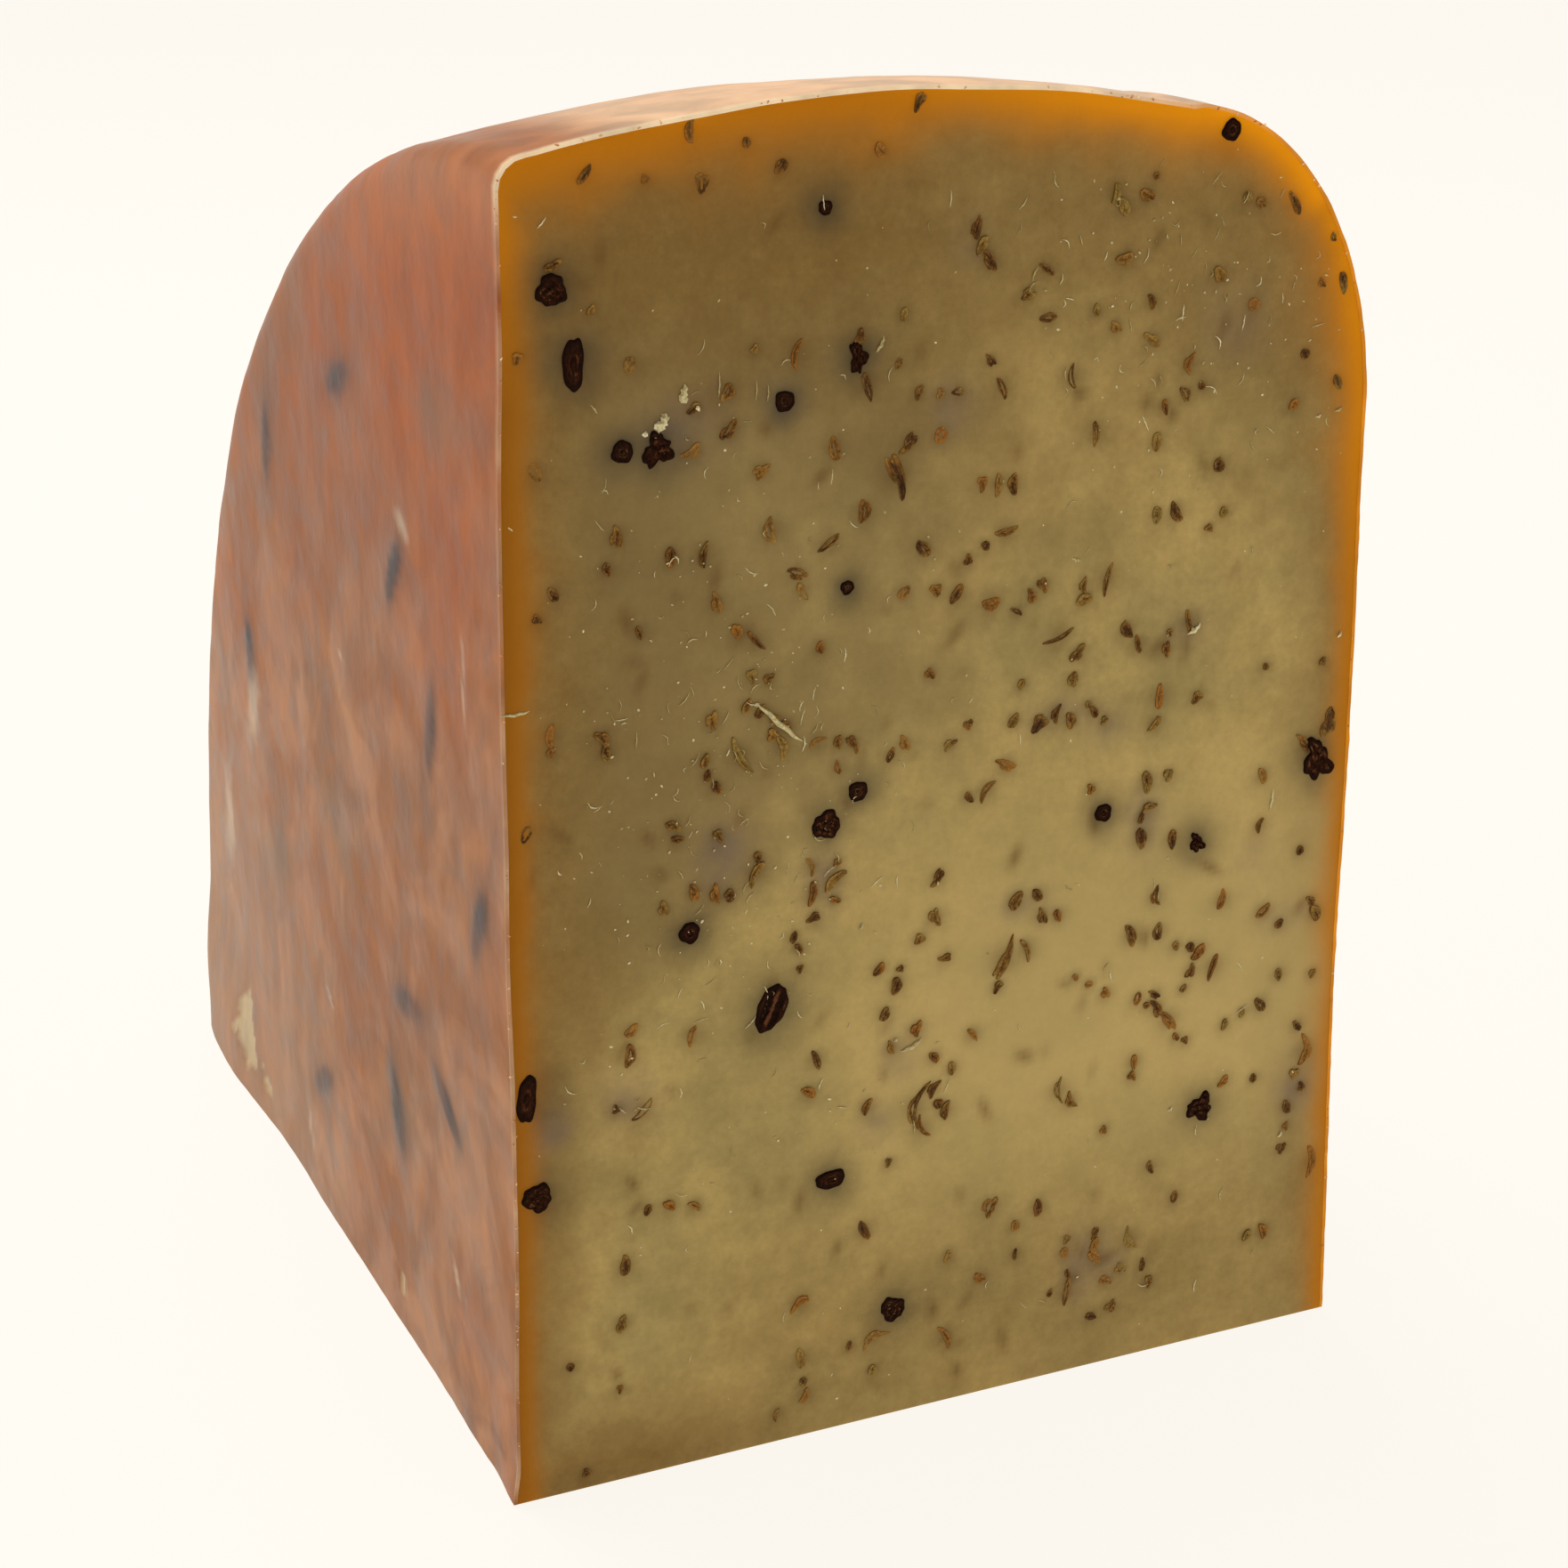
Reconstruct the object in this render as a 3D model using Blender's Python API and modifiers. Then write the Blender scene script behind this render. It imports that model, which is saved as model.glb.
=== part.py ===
"""A quarter of a spiced hard cheese wheel, standing on one of its two cut faces.

The wheel lies on its side, with its axis along X at the lower front edge. One knife cut is the
front face (looking along -Y) and the other is the base (z = 0). The flat side with the sharp
edge is on the left (-X), the side with the broad shoulder is on the right (+X), and the rim runs
over the top and down the back. The origin is under the middle of the block's box.

Pieces: the cheese itself with its grown rind, the thin coating painted on the rind, and the
cloves and cumin seeds that were stirred into the curd, cut through where the knife met them.
"""
import math

import bmesh
import bpy
from mathutils import Matrix, Vector

MM = 0.001

# The wheel, outside its coating.
WHEEL_RADIUS = 153.5 * MM      # at the crown of the rim
WHEEL_WIDTH = 106.6 * MM       # along the axis, at the centre of the flat sides
QUARTER_FACETS = 16            # round the quarter turn
CROWN_PLACE = 43.0 * MM        # of the rim's crown, from the left side
CROWN_RISE = 3.5 * MM
CROWN_HALF_WIDTH = 37.4 * MM
EDGE_RADIUS = 3.6 * MM         # sharp edge between the left side and the rim
LEFT_DRAFT = 2.0 * MM          # the flat sides are slightly domed
RIGHT_DRAFT = 2.4 * MM
SHOULDER_WIDTH = 26.0 * MM     # broad shoulder on the right, a quarter of an ellipse
SHOULDER_HEIGHT = 36.0 * MM

FRONT = -WHEEL_RADIUS / 2      # y of the front cut and of the wheel's axis

COATING_THICKNESS = 0.4 * MM
GAP = 0.3 * MM                 # between pieces that touch

# The spices.
CLOVE_LENGTH = 10.5 * MM
CLOVE_SIDES = 8
CUMIN_LENGTH = 5.0 * MM
CUMIN_RADIUS = 0.65 * MM
CUMIN_SIDES = 6
SIDE_CLOVE_DEPTH = 1.1 * MM    # of a clove's axis under the rind of the left side
SIDE_CLOVE_SPIN = 25           # degrees about its own axis

# Spices met by a knife cut are given as: mm from the left side, mm from the wheel's axis, lean
# from the radial direction and tilt into the cheese in degrees, and where along its length the
# spice was cut (0 is a clove's stem end, 1 its bud).
FRONT_CLOVES = (
    (7.7, 135.9, 0, 80, 0.86),
    (9.8, 127.4, 2, 32, 0.45),
    (14.8, 118.9, 20, 80, 0.55),
    (18.9, 119.0, 40, 60, 0.88),
    (32.7, 122.4, 0, 85, 0.40),
    (37.2, 141.8, 10, 80, 0.06),
    (41.0, 125.9, -5, 35, 0.20),
    (84.8, 146.9, 12, 42, 0.35),
    (39.9, 101.7, 60, 75, 0.06),
    (41.4, 78.6, 0, 88, 0.50),
    (37.9, 75.5, -120, 60, 0.72),
    (72.2, 71.3, 15, 85, 0.30),
    (21.5, 65.4, 30, 70, 0.50),
    (31.4, 56.2, 24, 14, 0.82),
    (84.9, 65.5, -25, 48, 0.15),
    (100.6, 74.2, -18, 20, 0.80),
    (2.2, 48.7, 5, 30, 0.50),
    (3.4, 37.7, 0, 75, 0.84),
    (38.3, 32.3, 84, 38, 0.45),
    (87.2, 31.7, 40, 70, 0.86),
    (46.2, 14.1, -35, 65, 0.88),
)
BASE_CLOVES = (
    (22.0, 118.0, 35, 70, 0.50),
    (71.0, 98.0, -60, 40, 0.80),
    (84.0, 36.0, 10, 80, 0.40),
)
CUMIN_SEEDS = (
    (72.0, 139.5, -30, 35, 0.5),
    (72.3, 134.0, 82, 35, 0.5),
    (84.2, 131.3, -25, 30, 0.4),
    (88.7, 127.8, 20, 50, 0.5),
    (38.4, 116.8, -15, 25, 0.5),
    (50.7, 117.0, 15, 35, 0.4),
    (77.2, 113.7, 8, 35, 0.5),
    (85.3, 110.2, 0, 40, 0.5),
    (41.8, 109.8, 5, 22, 0.5),
    (31.0, 108.6, -12, 20, 0.4),
    (48.9, 104.9, -40, 28, 0.5),
    (57.2, 97.8, 85, 28, 0.5),
    (67.7, 87.7, -5, 40, 0.4),
    (67.6, 83.0, -10, 38, 0.6),
    (77.8, 74.2, -5, 25, 0.5),
    (77.3, 67.4, -15, 24, 0.5),
    (61.3, 62.4, 35, 25, 0.5),
    (76.5, 55.6, -18, 22, 0.5),
    (80.1, 55.3, 0, 30, 0.4),
    (46.4, 54.7, 15, 35, 0.5),
    (14.4, 52.3, 10, 26, 0.5),
    (13.4, 27.0, 0, 28, 0.5),
)

# Cloves that lie just under the coating of the left side: mm back from the front cut, mm above
# the base, and lean from upright in degrees.
SIDE_CLOVES = (
    (9, 66, 30),
    (22, 39, -55),
    (24, 83, 10),
    (37, 46, 80),
    (36, 98, 35),
    (42, 29, -15),
    (57, 116, 70),
    (76, 19, 60),
    (90, 100, 5),
    (104, 68, -8),
)


def clear_scene():
    """Empty the file, so that the model starts from nothing."""
    for thing in list(bpy.data.objects):
        bpy.data.objects.remove(thing, do_unlink=True)


def new_collection(name):
    """Make a collection under the scene."""
    collection = bpy.data.collections.new(name)
    bpy.context.scene.collection.children.link(collection)
    return collection


def finish(name, colour, roughness):
    """Make a Principled material."""
    material = bpy.data.materials.new(name)
    material.use_nodes = True
    shader = material.node_tree.nodes["Principled BSDF"]
    shader.inputs["Base Color"].default_value = (*colour, 1.0)
    shader.inputs["Roughness"].default_value = roughness
    shader.inputs["Metallic"].default_value = 0.0
    return material


def add_object(name, mesh, collection, material=None):
    """Link a mesh as a new object."""
    thing = bpy.data.objects.new(name, mesh)
    collection.objects.link(thing)
    if material:
        mesh.materials.append(material)
    return thing


def mark_cutter(thing):
    """Show a cutter as wires, and keep it out of the finished part."""
    thing.display_type = "WIRE"
    thing.hide_render = True
    return thing


def boolean(thing, operation, cutter):
    """Cut or join with the exact solver."""
    modifier = thing.modifiers.new(cutter.name, "BOOLEAN")
    modifier.operation = operation
    modifier.solver = "EXACT"
    modifier.use_self = True
    modifier.object = cutter


def arc(centre, reach, start, end, steps):
    """Points on an ellipse's arc, as (along the axis, radius), between two angles in degrees."""
    points = []
    for step in range(steps + 1):
        angle = math.radians(start + (end - start) * step / steps)
        points.append((centre[0] + reach[0] * math.cos(angle), centre[1] + reach[1] * math.sin(angle)))
    return points


def wheel_outline(inset):
    """Half section of the wheel, from the centre of the right side round to that of the left.

    Points are (along the axis from the left side, radius), drawn in from the outside by inset.
    """
    shoulder = (WHEEL_WIDTH - RIGHT_DRAFT - SHOULDER_WIDTH, WHEEL_RADIUS - CROWN_RISE - SHOULDER_HEIGHT)
    edge = (LEFT_DRAFT + EDGE_RADIUS, WHEEL_RADIUS - CROWN_RISE - EDGE_RADIUS)
    outline = [(WHEEL_WIDTH - inset, 0.0)]
    outline += arc(shoulder, (SHOULDER_WIDTH - inset, SHOULDER_HEIGHT - inset), 0, 84, 8)
    for step in range(1, 6):
        place = shoulder[0] + (edge[0] - shoulder[0]) * step / 6
        drop = CROWN_RISE * ((place - CROWN_PLACE) / CROWN_HALF_WIDTH) ** 2
        outline.append((place, WHEEL_RADIUS - drop - inset))
    outline += arc(edge, (EDGE_RADIUS - inset, EDGE_RADIUS - inset), 90, 180, 4)
    outline.append((inset, 0.0))
    return outline


def quarter_turn(name, outline, collection, material=None):
    """Sweep a flat outline a quarter turn round the axis, from the front cut to the base.

    The outline's first and last points lie on the axis, and so may others.
    """
    swept = bmesh.new()
    corners = [swept.verts.new((along - WHEEL_WIDTH / 2, FRONT, radius)) for along, radius in outline]
    section = swept.faces.new(corners)
    bmesh.ops.spin(
        swept,
        geom=[section, *section.edges, *section.verts],
        cent=(0.0, FRONT, 0.0),
        axis=(1.0, 0.0, 0.0),
        angle=-math.pi / 2,
        steps=QUARTER_FACETS,
    )
    bmesh.ops.remove_doubles(swept, verts=swept.verts, dist=0.00001)
    bmesh.ops.recalc_face_normals(swept, faces=swept.faces)
    mesh = bpy.data.meshes.new(name)
    swept.to_mesh(mesh)
    swept.free()
    return add_object(name, mesh, collection, material)


def turned(name, outline, sides, collection):
    """Turn an outline of (along the axis, radius) points about Z, top to bottom at +X."""
    mesh = bpy.data.meshes.new(name)
    places = [(radius, 0.0, along) for along, radius in outline]
    mesh.from_pydata(places, [(index, index + 1) for index in range(len(places) - 1)], [])
    thing = mark_cutter(add_object(name, mesh, collection))
    screw = thing.modifiers.new("turn", "SCREW")
    screw.steps = sides
    screw.render_steps = sides
    screw.use_merge_vertices = True
    screw.merge_threshold = 0.00001
    return thing


def clove_outline(grow):
    """A dried clove on its axis, bud first: the rounded bud, the flared calyx and the stem."""
    outline = (
        (1.00, 0.00),
        (0.96, 1.35),
        (0.85, 1.90),
        (0.76, 2.10),
        (0.62, 1.35),
        (0.30, 1.20),
        (0.02, 0.80),
        (0.00, 0.00),
    )
    grown = []
    for share, radius in outline:
        along = (share - 0.5) * (CLOVE_LENGTH + 2 * grow)
        grown.append((along, radius * MM + (grow if radius else 0.0)))
    return grown


def cumin_outline(grow):
    """A cumin seed on its axis, a blunt spindle."""
    half = CUMIN_LENGTH / 2 + grow
    girth = CUMIN_RADIUS + grow
    return [(half, 0.0), (half * 0.45, girth), (-half * 0.45, girth), (-half, 0.0)]


def seat(point, turn, along, length):
    """Place a spice so that the point lies at a share of its length, 0 to 1."""
    return Matrix.Translation(point) @ turn @ Matrix.Translation((0, 0, (0.5 - along) * length))


def front_seat(length, across, up, lean, tilt, along):
    """Seat a spice on the front cut: upright, leaned in the cut, then tipped inwards."""
    point = Vector((across * MM - WHEEL_WIDTH / 2, FRONT, up * MM))
    inwards = Matrix.Rotation(math.radians(-tilt), 4, "X")
    return seat(point, Matrix.Rotation(math.radians(lean), 4, "Y") @ inwards, along, length)


def base_seat(length, across, back, lean, tilt, along):
    """Seat a spice on the base: lying towards the rim, turned in the cut, then tipped upwards."""
    point = Vector((across * MM - WHEEL_WIDTH / 2, FRONT + back * MM, 0.0))
    upwards = Matrix.Rotation(math.radians(tilt - 90.0), 4, "X")
    return seat(point, Matrix.Rotation(math.radians(lean), 4, "Z") @ upwards, along, length)


def side_seat(back, up, lean):
    """Seat a clove flat under the coating of the left side."""
    skin = COATING_THICKNESS + GAP + LEFT_DRAFT * math.hypot(back, up) * MM / WHEEL_RADIUS
    point = Vector((skin + SIDE_CLOVE_DEPTH - WHEEL_WIDTH / 2, FRONT + back * MM, up * MM))
    spin = Matrix.Rotation(math.radians(SIDE_CLOVE_SPIN), 4, "Z")
    return seat(point, Matrix.Rotation(math.radians(lean), 4, "X") @ spin, 0.5, CLOVE_LENGTH)


def turned_mesh(name, outline, sides, collection):
    """The finished mesh of a turned piece, for copies that share it."""
    pattern = turned(name, outline, sides, collection)
    graph = bpy.context.evaluated_depsgraph_get()
    return bpy.data.meshes.new_from_object(pattern.evaluated_get(graph))


def seat_spices(named_seats, mesh, space, collection):
    """One object for each spice, trimmed by the knife cuts and the rind."""
    for name, matrix in named_seats.items():
        spice = add_object(name, mesh, collection)
        spice.matrix_world = matrix
        boolean(spice, "INTERSECT", space)


def pocket_cutter(name, mesh, seats, collection):
    """All the pockets of one kind of spice, as one cutter."""
    gathered = bmesh.new()
    for matrix in seats:
        first = len(gathered.verts)
        gathered.from_mesh(mesh)
        gathered.verts.ensure_lookup_table()
        bmesh.ops.transform(gathered, matrix=matrix, verts=gathered.verts[first:])
    pockets = bpy.data.meshes.new(name)
    gathered.to_mesh(pockets)
    gathered.free()
    return mark_cutter(add_object(name, pockets, collection))


def clove_seats():
    """Name and place of every clove."""
    seats = {}
    for number, row in enumerate(FRONT_CLOVES, 1):
        seats[f"clove_front_{number:02d}"] = front_seat(CLOVE_LENGTH, *row)
    for number, row in enumerate(BASE_CLOVES, 1):
        seats[f"clove_base_{number:02d}"] = base_seat(CLOVE_LENGTH, *row)
    for number, row in enumerate(SIDE_CLOVES, 1):
        seats[f"clove_side_{number:02d}"] = side_seat(*row)
    return seats


def cumin_seats():
    """Name and place of every cumin seed."""
    seats = {}
    for number, row in enumerate(CUMIN_SEEDS, 1):
        seats[f"cumin_{number:02d}"] = front_seat(CUMIN_LENGTH, *row)
    return seats


def build():
    """Model the block: the cheese, its coating and the spices in it."""
    clear_scene()
    part = new_collection("spiced_cheese_quarter")
    cutters = new_collection("cutters")
    rind = wheel_outline(COATING_THICKNESS + GAP)
    body = quarter_turn("cheese_body", rind, part, finish("cheese_paste", (0.337, 0.262, 0.107), 0.45))
    spice_space = mark_cutter(quarter_turn("spice_space", rind, cutters))

    clove_finish = finish("dried_clove", (0.030, 0.011, 0.005), 0.60)
    cumin_finish = finish("cumin_husk", (0.125, 0.062, 0.016), 0.70)
    spices = (
        ("clove", clove_outline, CLOVE_SIDES, clove_seats(), clove_finish),
        ("cumin", cumin_outline, CUMIN_SIDES, cumin_seats(), cumin_finish),
    )
    for kind, outline, sides, seats, material in spices:
        mesh = turned_mesh(kind + "_pattern", outline(0.0), sides, cutters)
        mesh.materials.append(material)
        seat_spices(seats, mesh, spice_space, part)
        hollow = turned_mesh(kind + "_pocket_pattern", outline(GAP), sides, cutters)
        boolean(body, "DIFFERENCE", pocket_cutter(kind + "_pockets", hollow, seats.values(), cutters))

    film = wheel_outline(0.0) + wheel_outline(COATING_THICKNESS)[::-1]
    quarter_turn("rind_coating", film, part, finish("rind_coating", (0.503, 0.262, 0.112), 0.55))


build()
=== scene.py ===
"""The looks of a quarter of a spiced hard cheese wheel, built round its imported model.

The block stands on one knife cut, and the other cut faces the camera. The wheel's axis lies along
X on the lower front edge, so a place on a cut is given by its distance from the left side and by
its distance from the axis, and the rind is the cut's outline swept a quarter turn.
"""
import logging
import math
import random
from dataclasses import dataclass
from enum import Enum

import bmesh
import bpy
import numpy as np
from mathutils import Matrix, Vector


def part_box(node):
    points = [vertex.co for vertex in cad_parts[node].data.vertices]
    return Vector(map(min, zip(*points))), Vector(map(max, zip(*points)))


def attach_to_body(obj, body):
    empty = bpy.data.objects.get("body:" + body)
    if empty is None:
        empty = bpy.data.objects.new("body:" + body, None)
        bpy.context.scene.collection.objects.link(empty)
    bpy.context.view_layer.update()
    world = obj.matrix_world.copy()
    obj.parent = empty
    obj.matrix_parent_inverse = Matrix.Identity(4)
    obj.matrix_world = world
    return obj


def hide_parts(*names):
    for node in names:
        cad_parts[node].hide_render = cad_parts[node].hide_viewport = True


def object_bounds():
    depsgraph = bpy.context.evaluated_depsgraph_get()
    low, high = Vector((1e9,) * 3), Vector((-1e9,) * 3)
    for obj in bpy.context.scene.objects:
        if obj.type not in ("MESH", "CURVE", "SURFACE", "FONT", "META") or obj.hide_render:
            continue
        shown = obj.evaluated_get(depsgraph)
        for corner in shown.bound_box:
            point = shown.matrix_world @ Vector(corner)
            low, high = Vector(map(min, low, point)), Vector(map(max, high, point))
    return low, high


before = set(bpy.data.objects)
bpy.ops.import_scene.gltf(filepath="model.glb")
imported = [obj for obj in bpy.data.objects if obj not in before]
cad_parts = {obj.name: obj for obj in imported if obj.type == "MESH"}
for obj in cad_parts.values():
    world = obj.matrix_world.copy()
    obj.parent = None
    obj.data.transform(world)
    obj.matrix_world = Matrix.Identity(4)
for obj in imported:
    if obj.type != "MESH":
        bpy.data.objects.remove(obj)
CAD_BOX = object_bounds()
LOG = logging.getLogger("cheese")

MM = 0.001
Setting = bool | int | float | str | tuple
Outline = list[tuple[float, float]]
Shape = tuple[np.ndarray, list]      # corners and faces

# For the noise: large odd numbers that scatter the corners of its lattice, a step of a simple
# random generator, and a mask of 32 bits.
SCATTER = (374761393, 668265263, 974634777, 1274126177)
STIR = (1103515245, 12345)
LOW_BITS = 0xFFFFFFFF


# ---------------------------------------------------------------- small tools


def linear(code: str) -> tuple[float, float, float, float]:
    """Turn an sRGB hex colour to linear.

    Args:
        code: the colour, as "#RRGGBB".

    Returns:
        Red, green, blue and alpha, 0 to 1.
    """
    shares = [int(code[place:place + 2], 16) / 255 for place in (1, 3, 5)]
    red, green, blue = (
        share / 12.92 if share <= 0.04045 else ((share + 0.055) / 1.055) ** 2.4 for share in shares
    )
    return red, green, blue, 1.0


def lattice_noise(points: np.ndarray, size: float, seed: int) -> np.ndarray:
    """Smooth random values over space.

    Args:
        points: places, one row each.
        size: distance over which the value changes, in the same unit.
        seed: picks one of many patterns.

    Returns:
        One value from -1 to 1 for each place.
    """
    scaled = points / size
    cell = np.floor(scaled).astype(np.int64)
    part = scaled - cell
    part = part * part * (3 - 2 * part)
    total = np.zeros(len(points))
    for corner in range(8):
        offset = np.array([corner & 1, corner >> 1 & 1, corner >> 2])
        place = cell + offset
        mixed = place @ np.array(SCATTER[:3]) + seed * SCATTER[3]
        mixed = (mixed ^ (mixed >> 13)) & LOW_BITS
        mixed = (mixed * STIR[0] + STIR[1]) & LOW_BITS
        mixed = ((mixed ^ (mixed >> 16)) * SCATTER[1]) & LOW_BITS
        weight = np.prod(np.where(offset, part, 1 - part), axis=1)
        total += weight * (mixed / LOW_BITS * 2 - 1)
    return total


def smooth(value: np.ndarray, low: float, high: float) -> np.ndarray:
    """Ramp smoothly from 0 at low to 1 at high.

    Args:
        value: the values to ramp.
        low: where the ramp starts.
        high: where it ends, which may be below low.

    Returns:
        The ramped values.
    """
    share = np.clip((value - low) / (high - low), 0, 1)
    return share * share * (3 - 2 * share)


def add_node(tree: bpy.types.NodeTree, kind: str, settings: dict[str, Setting] | None = None,
             inputs: dict | None = None) -> bpy.types.Node:
    """Add a node with its settings and links.

    Args:
        tree: the material's node tree.
        kind: Blender's name for the node.
        settings: the node's own properties.
        inputs: a value or another node's output for each input, by name or number.

    Returns:
        The new node.
    """
    node = tree.nodes.new(kind)
    for name, value in (settings or {}).items():
        setattr(node, name, value)
    for name, value in (inputs or {}).items():
        if isinstance(value, bpy.types.NodeSocket):
            tree.links.new(value, node.inputs[name])
        else:
            node.inputs[name].default_value = value
    return node


def mesh_piece(name: str, points: np.ndarray, faces: list, weld: float = 0.0,
               smooth_shaded: bool = True) -> bpy.types.Object:
    """Make an object from points and faces, with its faces turned outwards.

    Args:
        name: the piece's name.
        points: its corners, in metres.
        faces: lists of corner numbers.
        weld: distance under which corners are made one.
        smooth_shaded: whether its faces are shaded as one smooth surface.

    Returns:
        The object, linked to the scene.
    """
    mesh = bpy.data.meshes.new(name)
    mesh.from_pydata(points.tolist(), [], faces)
    shape = bmesh.new()
    shape.from_mesh(mesh)
    if weld:
        bmesh.ops.remove_doubles(shape, verts=shape.verts, dist=weld)
    bmesh.ops.recalc_face_normals(shape, faces=shape.faces)
    shape.to_mesh(mesh)
    shape.free()
    if smooth_shaded:
        mesh.shade_smooth()
        mesh.set_sharp_from_angle(angle=math.radians(50))
    piece = bpy.data.objects.new(name, mesh)
    bpy.context.scene.collection.objects.link(piece)
    return piece


def corner_points(piece: bpy.types.Object) -> np.ndarray:
    """Read a piece's corners.

    Args:
        piece: the piece.

    Returns:
        Their places, one row each.
    """
    flat = np.zeros(len(piece.data.vertices) * 3, np.float32)
    piece.data.vertices.foreach_get("co", flat)
    return flat.reshape(-1, 3).astype(float)


def paint(piece: bpy.types.Object, name: str, values: np.ndarray) -> None:
    """Store one value for each corner, for the finish to read.

    Args:
        piece: the piece to paint.
        name: the attribute's name.
        values: one number for each corner.
    """
    layer = piece.data.attributes.new(name, "FLOAT", "POINT")
    layer.data.foreach_set("value", np.asarray(values, np.float32))


def grid_faces(rows: int, columns: int, first: int = 0) -> list[list[int]]:
    """Faces of a grid of corners that are numbered row by row.

    Args:
        rows: rows of corners.
        columns: corners in a row.
        first: number of the first corner.

    Returns:
        Four corner numbers for each face.
    """
    index = first + np.arange(rows * columns).reshape(rows, columns)
    quads = np.stack([index[:-1, :-1], index[:-1, 1:], index[1:, 1:], index[1:, :-1]], axis=-1)
    return quads.reshape(-1, 4).tolist()


def join_shapes(shapes: list[Shape]) -> Shape:
    """Put several shapes into one, with their corners numbered on.

    Args:
        shapes: the shapes.

    Returns:
        The corners and faces of them all.
    """
    faces = []
    first = 0
    for own_points, own_faces in shapes:
        faces += [[corner + first for corner in face] for face in own_faces]
        first += len(own_points)
    return np.concatenate([own_points for own_points, _faces in shapes]), faces


def spot(points: np.ndarray, centre: tuple[float, float], sizes: tuple[float, float],
         turn: float) -> np.ndarray:
    """Measure places against an oval spot.

    Args:
        points: places in the spot's plane, one row each.
        centre: the spot's middle.
        sizes: its half length and half width.
        turn: the angle from the plane's first direction to its length, in radians.

    Returns:
        Distance along and across the spot, 1 at its edge, as two rows.
    """
    first, second = points[:, 0] - centre[0], points[:, 1] - centre[1]
    along = (first * math.cos(turn) + second * math.sin(turn)) / sizes[0]
    aside = (second * math.cos(turn) - first * math.sin(turn)) / sizes[1]
    return np.stack([along, aside])


# ---------------------------------------------------------------- the wheel's shape


@dataclass(frozen=True)
class WheelSection:
    """The cut's outline, in metres from the left side and from the axis.

    The flat sides are slightly domed, the left one meets the rim at a sharp edge, and the right
    one at a broad shoulder that is a quarter of an ellipse.
    """

    width: float
    radius: float
    left_draft: float = 2.0 * MM
    right_draft: float = 2.4 * MM
    edge_radius: float = 3.6 * MM
    shoulder_width: float = 26.0 * MM
    shoulder_height: float = 36.0 * MM
    shoulder_fullness: float = 0.004
    crown_place: float = 44.9 * MM
    crown_rise: float = 3.8 * MM
    crown_half_width: float = 37.4 * MM
    edge_steps: int = 8
    rim_steps: int = 24
    shoulder_steps: int = 20
    shoulder_from: float = 83.0      # degrees above level where the rim runs into the shoulder

    def rim_height(self, across: np.ndarray) -> np.ndarray:
        """Give the rim's radius, a shallow arch, at distances from the left side."""
        return self.radius - self.crown_rise * ((across - self.crown_place) / self.crown_half_width) ** 2

    def sides(self, inset: float) -> tuple[Outline, Outline, Outline]:
        """Draw the outline in three stretches, each from the axis or from left to right.

        Args:
            inset: how far inside the wheel's surface the outline runs.

        Returns:
            The left side up to the sharp edge, the rim on to the middle of the shoulder, and the
            right side up to the same point.
        """
        edge = np.array([self.left_draft + self.edge_radius, 0.0])
        edge[1] = self.rim_height(edge[0]) - self.edge_radius
        edge_reach = self.edge_radius - inset
        shoulder = np.array([self.width - self.right_draft - self.shoulder_width, 0.0])
        shoulder[1] = self.rim_height(shoulder[0]) - self.shoulder_height
        lower, upper = (
            [(edge[0] - edge_reach * math.cos(a), edge[1] + edge_reach * math.sin(a))
             for a in np.linspace(first, first + math.pi / 4, self.edge_steps)]
            for first in (0, math.pi / 4)
        )
        across = np.linspace(edge[0], shoulder[0] + 2 * MM, self.rim_steps)[1:]
        rim = upper + list(zip(across, self.rim_height(across) - inset))
        rim += [self.shoulder_point(shoulder, inset, a)
                for a in np.linspace(self.shoulder_from, 45, self.shoulder_steps)]
        right = [(self.width - inset, 0.0)]
        right += [self.shoulder_point(shoulder, inset, a) for a in np.linspace(0, 45, self.shoulder_steps)]
        return [(inset, 0.0)] + lower, rim, right

    def shoulder_point(self, centre: np.ndarray, inset: float, angle: float) -> tuple[float, float]:
        """Give a point of the shoulder, an ellipse that is a little fuller at its middle.

        Args:
            centre: the ellipse's centre.
            inset: how far inside the wheel's surface the point is.
            angle: its angle, in degrees above level.

        Returns:
            Its distances from the left side and from the axis.
        """
        turn = math.radians(angle)
        fuller = 1 + self.shoulder_fullness * math.sin(2 * turn) ** 2
        reach = (self.shoulder_width * fuller - inset, self.shoulder_height * fuller - inset)
        return centre[0] + reach[0] * math.cos(turn), centre[1] + reach[1] * math.sin(turn)

    def holds(self, across: float, radius: float, margin: float) -> bool:
        """Say whether a place lies inside the outline by at least a margin.

        Args:
            across: its distance from the left side.
            radius: its distance from the axis.
            margin: the least distance from the outline.

        Returns:
            True if it does.
        """
        if not margin < across < self.width - self.right_draft - margin or radius < margin:
            return False
        line = np.concatenate([even_points(side, 60) for side in self.sides(0)[1:]])
        nearest = line[np.argmin(np.hypot(*(line - (across, radius)).T))]
        gap = math.hypot(nearest[0] - across, nearest[1] - radius)
        middle = (self.width / 2, self.radius / 2)
        outside = math.dist((across, radius), middle) > math.dist(nearest, middle)
        return gap > margin and not outside


def even_points(stretch: Outline, count: int) -> np.ndarray:
    """Space points evenly along a line of points.

    Args:
        stretch: the line's points.
        count: how many points are wanted.

    Returns:
        The new points, one row each.
    """
    line = np.array(stretch)
    along = np.concatenate([[0], np.cumsum(np.linalg.norm(np.diff(line, axis=0), axis=1))])
    wanted = np.linspace(0, along[-1], count)
    return np.stack([np.interp(wanted, along, line[:, axis]) for axis in (0, 1)], axis=1)


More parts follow.
